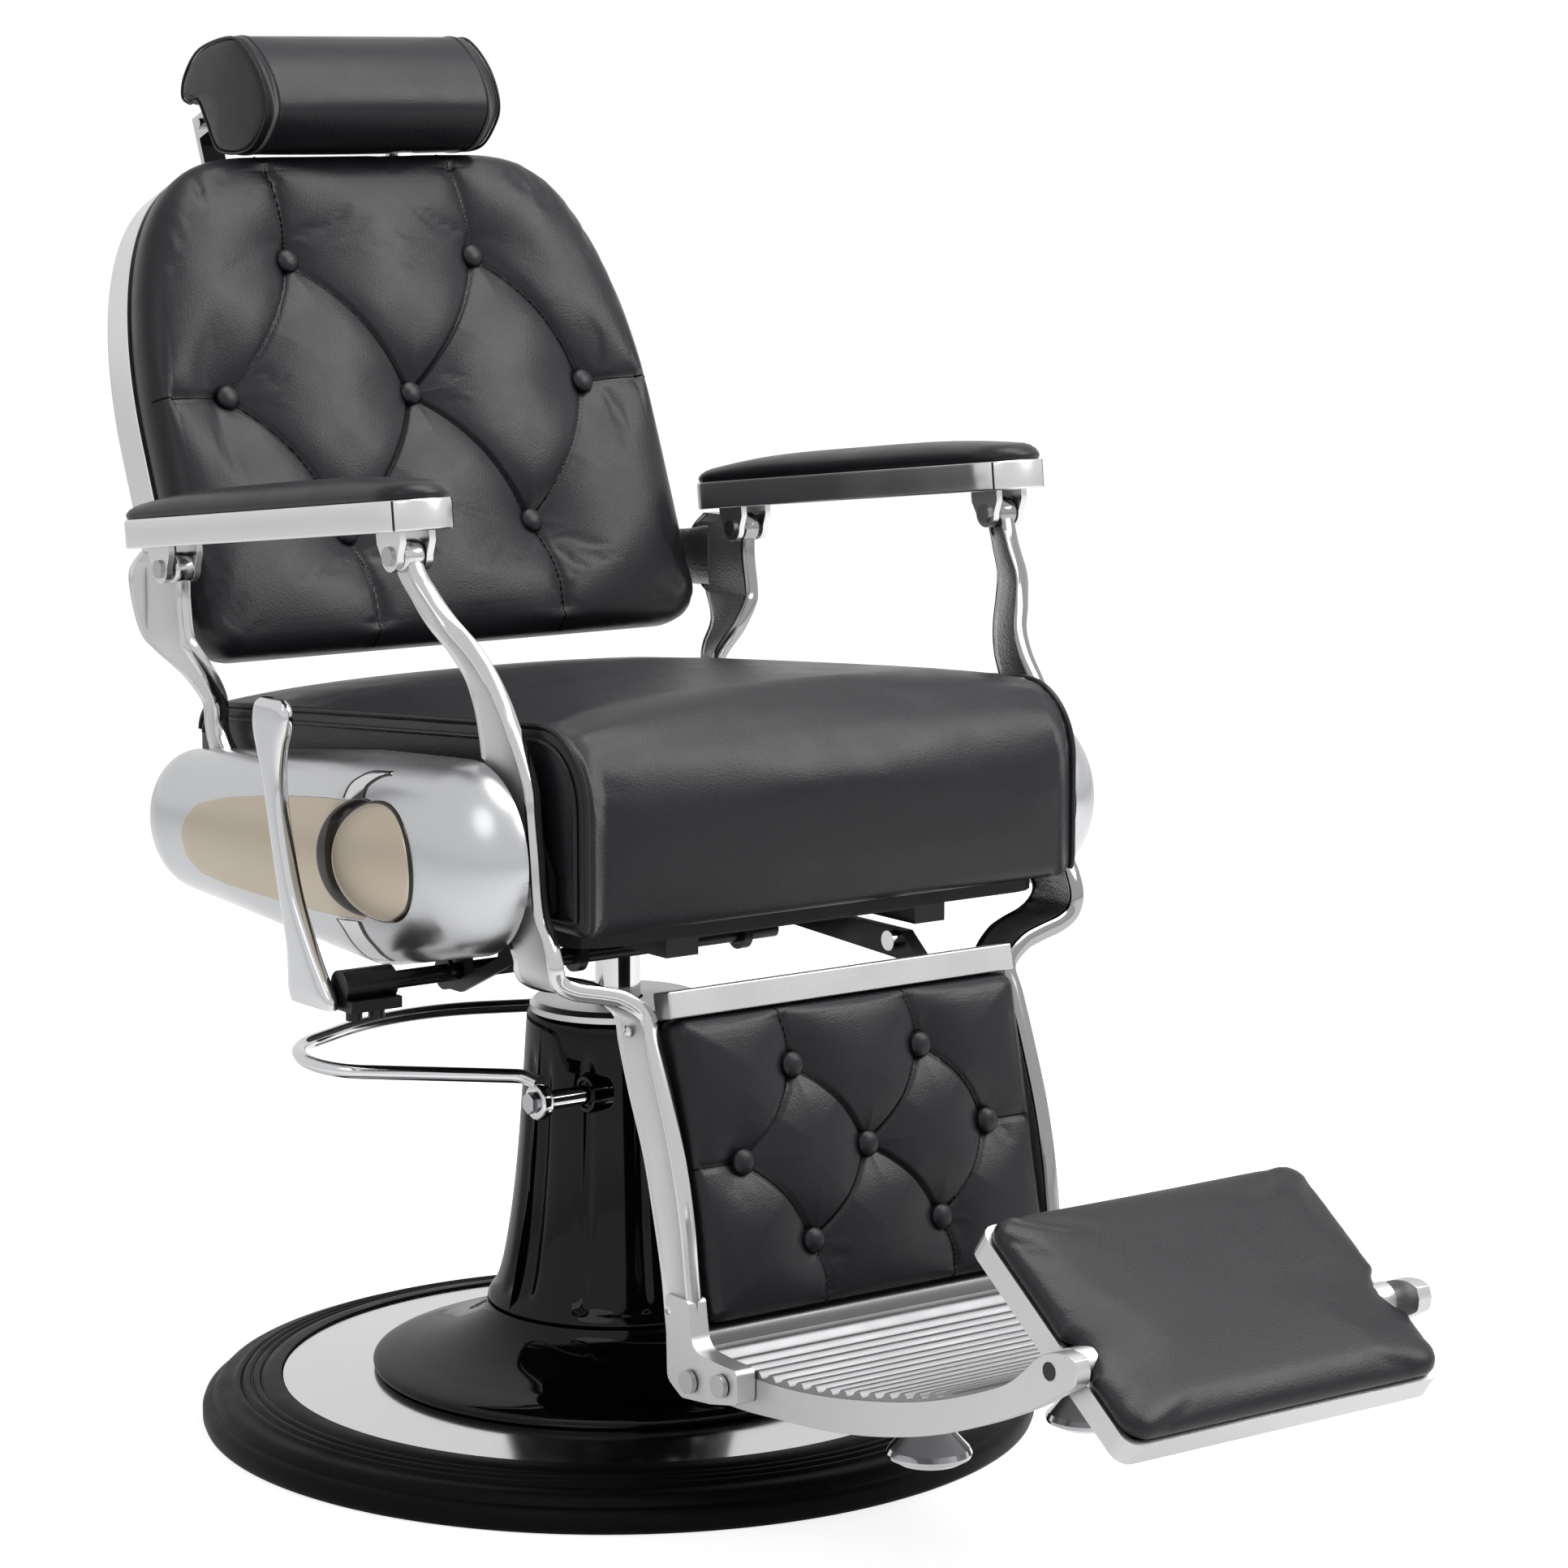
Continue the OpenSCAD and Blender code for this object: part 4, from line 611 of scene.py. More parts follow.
def seam_shade_lines(name, obj, panel, seams, body, radius):
    """Dark lines of painted shade, sunk in the seams: each seam is dropped onto the swollen pad along its
    panel's normal, as a thin bar.
    """
    tree = BVHTree.FromPolygons(coordinates(obj.data).tolist(), [p.vertices[:] for p in obj.data.polygons])
    foot, down = on_panel(panel, [0, 0, 0]), on_panel(((0, 0), panel[1]), [0, 0, -1])
    parts = []
    for seam in seams:
        starts = on_panel(panel, level(even(seam, 60), 60)) * MM
        hits = [tree.ray_cast(s.tolist(), down.tolist())[0] for s in starts]
        hits = np.array([h[:] for h in hits if h is not None]).reshape(-1, 3) / MM
        hits = hits[(hits - foot) @ down < 4]
        if len(hits) > 8:
            parts.append(tube(hits - down * (0.35 - radius), radius, 6))
    piece(name, parts, SEAM_SHADE, body)


def button_parts(panel, places, radius, lift):
    """Covered buttons: low domes whose height falls as the square root of one less the squared radius."""
    profile = [(radius * 0.8, lift - 5), (radius, lift - 2),
               *(arc(0, 90, 10)[:-1] * (radius, 5.2) + (0, lift))]
    return [skin(on_panel(panel, [level(b + r * circle(28), n) for r, n in profile])) for b in places]


def back_outline(inset):
    """Backrest outline: round lower corners, sides that curve in by a power of the cosine, and a flat top."""
    w, rise = BACK_HALF - inset, BACK_RISE - inset
    r = max(34 - inset, 6)
    corner = arc(-90, 0, 9) * r + (w - r, r - rise)
    side = arc(0, 90, 40) ** (0.6, 1) * (w - 90, rise + 20) + (90, -20)
    right = np.vstack([[[w * 0.5, -rise]], corner, [[w, -60]], side])
    return even(np.vstack([right, right[::-1] * [-1, 1]]), 420, closed=True)


def make_tufted(name, body, panel, buttons, seams, outline, rows, inset, face, held, cap, seam_shade_radius,
                button):
    """Tufted cushion: sides from rows [inset, n] of its outline, the face, dark bars of painted shade sunk in
    its seams, and covered buttons.
    """
    rings = [level(outline(i), n) for i, n in rows] + tufted_face(outline(inset), buttons, seams, *face)
    obj = pad(f"{name}_cushion_cover", [skin(on_panel(panel, rings))], body, [f"{name}_cushion"],
              near(buttons, panel, *held), 3, cap)
    seam_shade_lines(f"{name}_seams", obj, panel, seams, body, seam_shade_radius)
    piece(f"{name}_button_covers", button_parts(panel, buttons, *button), LEATHER, body,
          [f"{name}_buttons"])


def make_back_cushion():
    """Tufted backrest cushion, drawn in from the shell at its sides."""
    rows = [(8, -27.5), (3, -26), (1, -20), (0, -10), (0, 0), (2, 6), (6, 11), (11, 14.5)]
    make_tufted("back", "back", BACK_PANEL, BACK_BUTTONS, tufted_seams(BACK_BUTTONS, 262, 232, 9),
                back_outline, rows, 16, (22, 15, 34, 110), held=(16, 18), cap=4, seam_shade_radius=0.9,
                button=(10.5, 6.5))


def calf_outline(inset):
    """Calf cushion outline: a rectangle with small round corners."""
    w, h, r = 163.5 - inset, 115 - inset, max(12 - inset, 4)
    return even(rounded([[w, -h, r], [w, h, r], [-w, h, r], [-w, -h, r]], closed=True), 360, closed=True)


def make_calf_cushion():
    """Tufted calf cushion between the legs."""
    rows = [(6, -29.5), (2, -28), (0.5, -20), (0, -8), (1, 0), (4, 4.5)]
    make_tufted("calf", "legs", CALF_PANEL, CALF_BUTTONS, tufted_seams(CALF_BUTTONS, 170, 122, 6),
                calf_outline, rows, 8, (14, 11, 24, 80), held=(14, 10), cap=3, seam_shade_radius=0.8,
                button=(10, 4.5))


def bolster(section, half, edge, bulge, crown=None):
    """Form swept along X from a closed section of [y, z]. Near each end the section is drawn in along a
    quarter circle of radius edge; past it, the end panel bulges as a shallow dome. crown reshapes the
    rings."""
    flat = half - bulge - edge
    centre, drawn = section.mean(axis=0), inward(section, edge)
    end = [(flat + edge * c, inward(section, edge * (1 - s))) for c, s in arc(90, 0, 8)[:-1]]
    end += [(half - bulge + bulge * (1 - s * s), centre + (drawn - centre) * s)
            for s in (0.93, 0.8, 0.62, 0.42, 0.2)]
    rings = [across(-x, o) for x, o in end[::-1]] + [across(x, section) for x in np.linspace(-flat, flat, 41)]
    rings = np.array(rings + [across(x, o) for x, o in end])
    return skin(crown(rings) if crown else rings)


def make_seat_cushion():
    """Seat cushion: one wrap over the top and down the front, with boxed side panels and double welts."""
    front, rear, low = -306, 278, 470.4
    corners = [[rear, low, 16], [rear, 586, 28], [front, 631, 60], [front, low, 15]]
    section = even(rounded(corners, closed=True, steps=14), 260, closed=True)

    def crown(rings):
        """Raises the top by a parabola across times a cosine along, the front by parabolas across and up."""
        x, y, z = rings[..., 0], rings[..., 1], rings[..., 2]
        up = np.clip((z - 555) / 45, 0, 1)
        share = 1 - (x / SEAT_HALF) ** 2
        rings[..., 2] = z + 15 * up * share * (0.55 + 0.45 * np.cos(np.radians(90) * (y + 40) / 320))
        belly = np.clip(1 - ((z - 560) / 75) ** 2, 0, 1) * np.clip((-y - 250) / 56, 0, 1)
        rings[..., 1] = y - 5 * belly * share
        return rings
    welts = []
    for side in (-1, 1):
        for x, inset, radius in ((SEAT_HALF - 4.5, 1.2, 2.4), (SEAT_HALF - 1.2, 12, 2.0)):
            path = inward(section, inset)
            path = path[(path[:, 1] > 560) | (path[:, 0] < 0) & (path[:, 1] > low + 6)]
            turn = np.arctan2(path[:, 1] - 500, path[:, 0])
            path = path[np.argsort(np.where(turn < -math.pi / 2, turn + 2 * math.pi, turn))]
            welts.append(tube(across(side * x, even(path, 150)), radius, 8))
    pad("seat_cushion_cover", [bolster(section, SEAT_HALF, 9, 2.5, crown)], "seat", ["seat_cushion"],
        lambda p: (p[:, 2] < 0.476) | (np.abs(p[:, 0]) > 0.232), 3, 4, welts)


def make_headrest():
    """Headrest roll: a swept comma-shaped section with domed ends and double welts beside them."""
    rows = [(499, 1086), (493, 1106), (466, 1128), (415, 1138), (389, 1131), (362, 1108), (349, 1080),
            (357, 1060), (384, 1040), (434, 1039), (455, 1062), (470, 1081), (485, 1079)]
    section = even(curve(rows, 200, closed=True), 200, closed=True)
    welts = [tube(across(side * (HEAD_HALF - back), inward(section, inset)), 1.3, 8, closed=True)
             for side in (-1, 1) for back, inset in ((5, 1.2), (17, 0.5))]
    pad("headrest_cover", [bolster(section, HEAD_HALF, 9, 3)], "headrest", ["headrest_roll"],
        lambda p: np.abs(p[:, 0]) > 0.104, 2, 2.5, welts)


def stadium(inset):
    """Armrest outline [x, y] along the arm: two straight runs and two half circles."""
    half = 32.5
    ends = [arc(turn, turn + 180, 40) * (half - inset) + (0, ARM_MID + sign * (ARM_HALF - half))
            for turn, sign in ((0, 1), (180, -1))]
    return even(np.vstack(ends), 180, closed=True)


def on_arm(side, points):
    """Points [x, along, up] of an armrest as chair points."""
    return on_panel(ARM_PANEL, points) + [side * ARM_X, 0, 0]


def make_arm(side, name):
    """Armrest: polished rim with two thin near-black strips across its rounded front end, lugs below it, and
    a leather pad. The pad's crown is a parabola that sinks towards both ends by the square of the distance."""
    rows = [(7, 18), (1.2, 18), (0.3, 18.8), (0, 20), (0, 39.4), (0.4, 40.8), (1.2, 41.8), (2.2, 42),
            (2.9, 41.2), (3.1, 36), (3.1, 27), (8, 26)]
    parts = [skin(on_arm(side, [level(stadium(i), z) for i, z in rows]))]
    for y in (0, math.hypot(REAR_PIVOT[0] - FRONT_PIVOT[0], REAR_PIVOT[1] - FRONT_PIVOT[1])):
        for s in (-1, 1):
            sides = [(12, 0), (17, 10), (17, 18.2), (-17, 18.2), (-17, 10), (-12, 0)]
            lug = plate(np.vstack([arc(-160, -20, 12) * 12, sides]) + (y, 0), s * 13 - 3, s * 13 + 3)
            parts.append((on_arm(side, lug[0]), lug[1]))
    piece(f"arm_rim_{name}_polished", parts, RIM, "arms", [f"arm_rim_{name}"], bevel=0.8)
    # Two thin near-black strips across the rim's rounded front end.
    seams = []
    for out in arc(-36, -144, 2):
        aside = np.array([-out[1], out[0]]) * 0.8
        corners = [(0, -7.5) + out * r + aside * s for r, s in ((32, -1), (32.85, -1), (32.85, 1), (32, 1))]
        seams.append(skin(on_arm(side, [level(corners, z) for z in (18.8, 41.2)])))
    piece(f"arm_rim_{name}_dark_strips", seams, SEMI, "arms")
    rows = [(3.6, 27.5), (3.4, 41), (2.2, 43.2), (1.6, 45), (2.2, 48.5), (4.5, 53), (8.5, 56.6), (13, 58.6)]
    rings = [level(stadium(i), z) for i, z in rows]
    for s in np.linspace(0.88, 0.08, 9):
        x, y = stadium(13).T
        o = np.column_stack([x * s, ARM_MID + (y - ARM_MID) * (0.55 + 0.45 * s)])
        rings.append(level(o, 58.6 + 2.4 * (1 - s * s)))
    rings = np.array(rings)
    y = rings[..., 1] - ARM_MID
    ends = np.clip((np.abs(y) - 90) / 130, 0, 1) ** 2
    rings[..., 2] -= np.clip(rings[..., 2] - 45, 0, 20) * ends * np.where(y > 0, 0.55, 0.3)
    pad(f"arm_pad_{name}_cover", [skin(on_arm(side, rings))], "arms", [f"arm_pad_{name}"],
        lambda p: p[:, 2] < np.interp(p[:, 1], [-0.19, 0.27], [0.800, 0.748]), 2, 1.5)


def tray_outline(inset):
    """Footplate pad outline: a rounded rectangle with a round notch at each side."""
    w, low, high, r = 145 - inset, -73 + inset, 125 - inset, max(18 - inset, 4)
    notch = arc(232, 128, 14) * (26 + inset) + (w + 17, 0)
    right = np.vstack([rounded([[0, low, 0], [w, low, r], [w, -34, 0]]), notch,
                       rounded([[w, 34, 0], [w, high, r], [0, high, 0]])])
    return even(np.vstack([right, (right[::-1] * [-1, 1])[1:-1]]), 300, closed=True)


def make_footplate():
    """Leather pad on the footplate's tray, whose crown falls by the cube of the distance from its middle."""
    rows = [(2.5, 2.4), (0.6, 4), (0, 7), (0.8, 10.5), (3, 13.5), (7, 15.4), (12, 16.4)]
    rings = [level(tray_outline(i), n) for i, n in rows]
    mid = np.array([0, 26])
    rings += [level(mid + (tray_outline(12) - mid) * s, 18 - 1.6 * s ** 3)
              for s in np.linspace(0.92, 0.06, 16)]
    pad("footplate_cover", [skin(on_panel(TRAY_PANEL, rings))], "footplate", ["footplate_pad"],
        near([], TRAY_PANEL, 1, -6.5), 3, 3)


# ---- castings ----

# Section of a casting over its width: [share of the width, offset, height, polish]
BEAD = [(0, 0, 0, 1), (0, 0.5, 4.4, 1), (0, 1.8, 6.6, 1), (0, 3.4, 7.2, 1), (0, 5, 6.8, 1),
        (0, 6.2, 5.6, 0.7), (0, 7.4, 5, 0), (0.5, 0, 5, 0), (1, -7.4, 5, 0), (1, -6.2, 5.6, 0.7),
        (1, -5, 6.8, 1), (1, -3.4, 7.2, 1), (1, -1.8, 6.6, 1), (1, -0.5, 4.4, 1), (1, 0, 0, 1)]


def casting(stations, count):
    """Ribbon of cast metal: stations [x, z, front, rear] are carried through a spline; at each, the beaded
    section spans from front to rear along Y and stands off square to the path in the XZ plane. Returns part
    and polish."""
    s = curve(stations, count)
    along = unit(np.gradient(s[:, :2], axis=0))
    section = BEAD + [(f, o, -h, p) for f, o, h, p in BEAD[-2:0:-1]]
    rings = []
    for (x, z, front, rear), (ax, az) in zip(s, along * POST_T / 14.4):
        rings.append([(x - az * h, front + f * (rear - front) + o, z + ax * h) for f, o, h, _ in section])
    return skin(rings), [p for *_, p in section] * count + [1, 1]


def post_rows(pivot, top_x, rows):
    """Stations of a post from rows [share of the rise, lean share, front, rear], read from the top down."""
    return [(POST_X + lean * (top_x - POST_X), pivot[1] + share * CRANK[1],
             pivot[0] + share * CRANK[0] + front, pivot[0] + share * CRANK[0] + rear)
            for share, lean, front, rear in rows[::-1]]


FRONT_ROWS = [
    [-0.112, 0, -26, 34], [-0.028, 0, -22, 29], [0.136, 0, -34, 24],
    [0.248, 0, -42, 24], [0.328, 0, -48, 15], [0.408, 0, -47, 8], [0.488, 0, -42, 4], [0.568, 0, -36, 3],
    [0.648, 0.11, -32, 1], [0.728, 0.37, -31, 1], [0.808, 0.69, -25, 5], [0.888, 0.86, -16, 10],
    [0.952, 0.97, -11, 13], [1.032, 1, -11, 10],
]
REAR_ROWS = [
    [-0.02, 0, -12, 18], [0.092, 0, -9, 29], [0.252, 0, 11, 53], [0.372, 0, 35, 66], [0.452, 0, 46, 68],
    [0.532, 0, 39, 63], [0.58, 0.12, 31, 61], [0.652, 0.48, 18, 59], [0.732, 0.88, 11, 75], [0.78, 1, 9, 84],
    [0.892, 1, 2, 86], [0.972, 1, -6, 78], [1.036, 1, -12, 52],
]
# The leg below its posts: [z, front, rear]
LEG_ROWS = [(404, -301, -257), (380, -311, -266), (345, -325, -279), (300, -341, -298), (255, -352, -311),
            (214, -358, -321), (180, -363, -326), (150, -366, -331), (134, -368, -338)]


def make_cast(name, side, body, pivot, top_x, stations, count, extra, extra_polish):
    """Casting on its body, with the eye for the armrest's pin on top, and one part more."""
    ribbon, polish = casting(stations, count)
    profile = [(0.1, -9.5), (10, -9.5), (12, -8), (13, -6), (13, 6), (12, 8), (10, 9.5), (0.1, 9.5)]
    eye = lathe(profile, 40, "x", (top_x, pivot[0] + CRANK[0], pivot[1] + CRANK[1]))
    polish += [extra_polish] * len(extra[0]) + [1] * len(eye[0])
    # The left castings, on the far side, take the darker copy of the alloy: painted shade.
    piece(name + "_cast", sided(side, [ribbon, extra, eye]), CAST if side < 0 else CAST_PAINTED_SHADE, body,
          [name], polish=polish)


def make_front_frame(side, name):
    """Front casting: arm post, inward sweep and leg in one ribbon, with a foot plate."""
    leg_x = LEG_IN + LEG_T / 2
    stations = post_rows(FRONT_PIVOT, ARM_X, FRONT_ROWS)
    stations += [(POST_X, 452, -292, -238), (248, 438, -292, -236), (234, 430, -293, -238),
                 (212, 425, -295, -243), (193, 419, -297, -249)] + [(leg_x, *row) for row in LEG_ROWS]
    outline = [(-360, 200, 4), (-366, 163, 14), (-396, 160.5, 12), (-423, 160, 5), (-423, 134, 6),
               (-388, 127, 12), (-352, 123.5, 10), (-333, 134, 10), (-331, 200, 4)]
    foot = plate(rounded(outline, closed=True, steps=5), LEG_IN + 0.4, LEG_IN + LEG_T - 1)
    make_cast(f"front_frame_{name}", side, "legs", FRONT_PIVOT, ARM_X, stations, 190, foot, 0.15)


def make_rear_frame(side, name):
    """Rear casting: arm post that widens into a wing, with an ear to the backrest's shell."""
    ear = []
    for t in np.linspace(0, 1, 14):
        x, z = (squarish(24, 0.5) * (6.5, 29 - 4 * math.sin(math.pi * t))
                + (285 - 27 * t ** 1.3, 678 - 6 * t)).T
        ear.append(np.column_stack([x, np.full(24, 262 + 62 * t), z]))
    make_cast(f"rear_frame_{name}", side, "back", REAR_PIVOT, REAR_TOP_X,
              post_rows(REAR_PIVOT, REAR_TOP_X, REAR_ROWS), 150, skin(ear), 0.3)


def make_leg_screws():
    """Small screws on the legs' outer faces."""
    heads = [lathe([(4.6, 0), (4.6, 1.2), (3.6, 2.2), (1.2, 2.6), (1.0, 1.6), (0.1, 1.6)], 24, "x",
                   (LEG_IN + LEG_T - 3.2, y, z)) for y, z in ((-280, 392), (-334, 187))]
    piece("leg_screws", both(heads), CHROME, "legs")


def make_calf_rail():
    """Rail above the calf cushion, with rounded edges."""
    outline = on_panel(CALF_PANEL, [(0, 116, 2), (0, 137, 2), (0, 137, -20), (0, 116, -20)])[:, 1:]
    rail = plate(outline, -LEG_IN + 0.4, LEG_IN - 0.4)
    piece("calf_rail_satin", [rail], SATIN, "legs", ["calf_rail"], bevel=1.6, segments=3)


TREAD = [(-318, 163), (-359, 160), (-385, 154), (-401, 153), (-456, 155), (-510, 161), (-568, 171.5),
         (-619, 183.5), (-666, 197)]


def make_step():
    """Footrest step: tread whose ribs follow a clipped cosine, and two curved cheeks."""
    pitch, ribs, start = 17.5, 17, -362
    y = np.linspace(start, start - pitch * ribs, ribs * 12 + 1)
    wave = np.clip(0.5 - 0.7 * np.cos(2 * math.pi * (start - y) / pitch), 0, 1)
    line = np.array(TREAD[::-1])
    top = np.column_stack([y, np.interp(y, *line.T) - 1 + 5 * wave])
    rear = curve([(-318, 162), (-322, 167), (-336, 172), (-350, 174), (-357, 171), (-359, 161)], 24)
    tread = plate(np.vstack([rear, top, [(-666, 196)], line - [0, 8]]), -STEP_HALF + 1, STEP_HALF - 1)
    piece("footrest_tread", [tread], TREAD_ALLOY, "legs", crease=40)
    upper = [(-345, 151), (-401, 151), (-456, 153), (-510, 159), (-568, 169.5), (-619, 181.5), (-664, 196),
             (-711, 215), (-732, 229), (-748, 243), (-762, 250), (-778, 252.5), (-788, 250)]
    lower = [(-791, 242), (-789, 233), (-780, 227), (-768, 220), (-738, 203), (-685, 179), (-630, 159),
             (-568, 143), (-510, 133), (-450, 127), (-398, 123), (-345, 124)]
    cheek = plate(np.vstack([curve(upper, 100), curve(lower, 80)]), STEP_HALF - CHEEK_T, STEP_HALF)
    piece("footrest_cheeks", both([cheek]), SATIN, "legs", ["footrest_step"], bevel=0.9,
          crease=40)
    # A thin near-black disc on each cheek's outer face, over the pivot's hole: painted shade of the hole.
    bore = lathe([(0.1, 0), (6.6, 0), (6.6, 0.5), (0.1, 0.5)], 24, "x", (STEP_HALF - 0.1, *FLIP))
    piece("footrest_bore_shade", both([bore]), SEMI, "legs")


# ---- chromed housings ----

# Balls of a housing: middle y and z, radius, and how far each is squeezed along X
BALLS = np.array([(-198, 522, 75, 0.702), (-75, 505, 84, 0.667), (218, 496, 59, 0.683)])
HOUSING_MID = np.array([-30.0, 508.0])
BOSS = np.array([-138.0, 515.0])


def housing_outline():
    """Rim of a housing [y, z]: the hull of the balls' circles, their farthest reach in each direction."""
    n = circle(720)
    pick = (n @ BALLS[:, :2].T + BALLS[:, 2]).argmax(axis=1)
    return even(BALLS[pick, :2] + n * BALLS[pick, 2, None], 240, closed=True)


def housing_x(y, z):
    """Outer surface of a housing over a point. From one ball to the next the centre and radius run straight;
    the share t along the run is where the squared radius exceeds the squared distance most, and the height is
    the root of that excess times the squeeze."""
    best = np.zeros(np.shape(y))
    for (y0, z0, r0, k0), (y1, z1, r1, k1) in zip(BALLS[:-1], BALLS[1:]):
        dy, dz, dr = y1 - y0, z1 - z0, r1 - r0
        t = np.clip((r0 * dr + (y - y0) * dy + (z - z0) * dz) / (dy * dy + dz * dz - dr * dr), 0, 1)
        excess = (r0 + t * dr) ** 2 - (y - y0 - t * dy) ** 2 - (z - z0 - t * dz) ** 2
        best = np.maximum(best, (k0 + t * (k1 - k0)) * np.sqrt(np.maximum(excess, 0)))
    return HOUSING_X + best


def on_housing(outline, lift=0.0):
    """Outline of [y, z] laid on a housing, at a lift from it."""
    return across(housing_x(outline[:, 0], outline[:, 1]) + lift, outline)


def make_housing(side, name):
    """Chromed side housing: rings shrink from its rim to its middle, closed behind by a flat wall."""
    rim = housing_outline() - HOUSING_MID
    rings = [across(HOUSING_X + 1, HOUSING_MID + rim * 0.5)]
    rings += [on_housing(HOUSING_MID + rim * s) for s in arc(90, 2, 64)[:, 1]]
    piece(f"housing_{name}_chromed", sided(side, [skin(rings)]), BUBBLE, "seat",
          [f"housing_{name}"], crease=50)
    make_insert(side, name)


def raised(outline, centre, lift):
    """Low pad on a housing: rings shrink from an outline [y, z] to a centre, past a quarter-round edge."""
    edge = 1.6
    rings = [on_housing(inward(outline, inset * edge), up)
             for up, inset in ((-3, 0), (0, 0), (lift * 0.6, 0.25), (lift * 0.92, 0.6), (lift, 1))]
    inner = inward(outline, edge) - centre
    return skin(rings + [on_housing(centre + inner * s, lift) for s in np.linspace(0.94, 0.05, 14)])


def sliver(outer, inner, lift, trim):
    """Curved sliver on a housing between two rails of [y, z], drawn in by a trim, with a low roof."""
    outer, inner = curve(outer, 30), curve(inner, 30)
    aside = inner - outer
    aside *= trim / np.maximum(np.linalg.norm(aside, axis=1, keepdims=True), 2)
    outer, inner = outer + aside, inner - aside
    rings = [on_housing(outer + (inner - outer) * share, up)
             for share, up in ((0, -2), (0, lift), (0.5, lift + 0.4), (1, lift), (1, -2))]
    return skin(np.swapaxes(rings, 0, 1))


def make_insert(side, name):
    """Bronze blade that runs under a dark disc of painted shadow and a bronze boss, with two bright scoops
    edged in black painted shade.
    """
    disc = circle(90) * (54, 45.5)
    blade = [(181, 493), (174, 508), (157, 521), (107, 533), (19, 546), (-55, 554), (-110, 557), (-150, 545),
             (-150, 485), (-110, 466), (-43, 463), (20, 461), (115, 460), (158, 463), (176, 474)]
    blade = even(rounded([(*q, 9) for q in blade], closed=True, steps=4), 200, closed=True)
    parts = [raised(BOSS + disc, BOSS, 2.8), raised(blade, (10, 508), 0.9)]
    piece(f"housing_insert_{name}_bronze", sided(side, parts), BRONZE, "seat",
          [f"housing_insert_{name}"], crease=50)
    # Two dark discs under the boss, one pushed to the rear, leave a dark crescent and a thin dark ring round
    # it: painted shadow.
    shade = [raised(BOSS + [26, 0] + disc, BOSS + [26, 0], 1.6), raised(BOSS + disc * 1.03, BOSS, 1.9)]
    piece(f"housing_shade_{name}", sided(side, shade), PAINTED_BOSS_SHADOW, "seat")
    scoops = [([(-82, 557), (-82, 567), (-90, 574), (-103, 579), (-128, 581)],
               [(-110, 558), (-106, 567), (-109, 572), (-117, 577), (-129, 580)]),
              ([(-76, 462), (-80, 454), (-81, 443), (-83, 431), (-86, 426)],
               [(-106, 464), (-106, 453), (-108, 443), (-107, 435), (-107, 430)])]
    # Black slivers edge each chrome scoop where the groove's walls lie in shade: painted shade.
    for kind, lift, trim, material, slot in (("groove", 0.4, -2.0, SEMI, "black_steel"),
                                             ("scoop", 0.9, 1.8, CHROME, "chrome")):
        piece(f"housing_{kind}_{name}", sided(side, [sliver(*rails, lift, trim) for rails in scoops]),
              material, "seat")


# ---- lever ----

def make_lever():
    """Recline lever: a blade whose rounded section grows into a bulb at the head and widens at the foot."""
    # z, middle y, half width, half thickness
    rows = [(401, -92, 30, 6.0), (410, -90, 31, 7.0), (425, -84, 25, 7.0), (445, -76, 18, 7.0),
            (480, -61, 11.5, 7.0), (515, -50, 9.5, 7.0), (548, -42, 9.5, 7.0), (573, -37.5, 12, 7.0),
            (593, -35, 18, 7.0), (607, -35.5, 23.5, 7.0), (618, -36.5, 24.5, 7.0), (627, -37, 22, 6.4),
            (632, -37.5, 15, 4.2)]
    rings = [level(squarish(36, 0.55)[:, ::-1] * (t, w) + (-344, y), z) for z, y, w, t in curve(rows, 90)]
    piece("recline_lever_polished", [skin(rings)], CHROME, "lever", ["recline_lever"], crease=60)


# ---- base and column ----

def make_base():
    """Base: ribbed rubber ring, polished disc, gloss skirt, and the fluted two-piece column cover."""
    r = 348
    ribs = [(282.4, 0.2), (282.4, 38), (290, 38), (296, 36.6)]
    for c, h in ((303, 35), (311, 34.2), (319, 32.6)):
        ribs += [(c - 3.2, h - 1.2), (c - 2, h + 0.4), (c, h + 1), (c + 2, h + 0.2), (c + 3.2, h - 1.8)]
    ribs += [(325, 30), (331, 29.5), (335, 28), (338, 25), (340, 20.5), (343.5, 19.5), (346.5, 17), (r, 13),
             (r, 5), (346.6, 1.4), (344, 0.2)]
    piece("base_ring_rubber", [lathe(ribs, 200, wrap=True)], RUBBER, "base", ["base_ring"],
          crease=50)
    disc = [(282, 0.4), (282, 35), (281, 36), (240, 38.2), (150, 43.4), (74, 48), (40, 48)]
    piece("base_disc_mirror", [lathe(disc, 200)], DISC_STEEL, "base", ["base_disc"])
    top = [(201, 40.3), (204.4, 41.6), (206, 45.2), (205, 48.6), (200, 51), (190, 53.8), (170, 58.7),
           (145, 66.7), (125, 77.2), (114, 87.2), (110.5, 95.7)]
    under = [(98, 95.7), (98, 91), (108, 83.2), (122, 71.2), (145, 60.2), (170, 53.2), (190, 48.2),
             (199, 45.2)]
    profile = np.vstack([curve(top, 60), curve(under, 40)])
    piece("skirt_gloss", [lathe(profile, 180, wrap=True)], GLOSS, "base", ["skirt"])
    for name, sign in (("shroud_rear", 1), ("shroud_front", -1)):
        piece(name + "_gloss", [column_half(sign)], GLOSS, "base", [name], crease=45)


COLUMN = [(96, 108), (99, 110), (104, 108), (110, 104), (118, 101), (132, 97), (150, 93.5), (172, 90),
          (200, 86.4), (235, 83), (275, 80), (310, 77.5), (334, 75.8), (340, 74.5), (342, 72)]


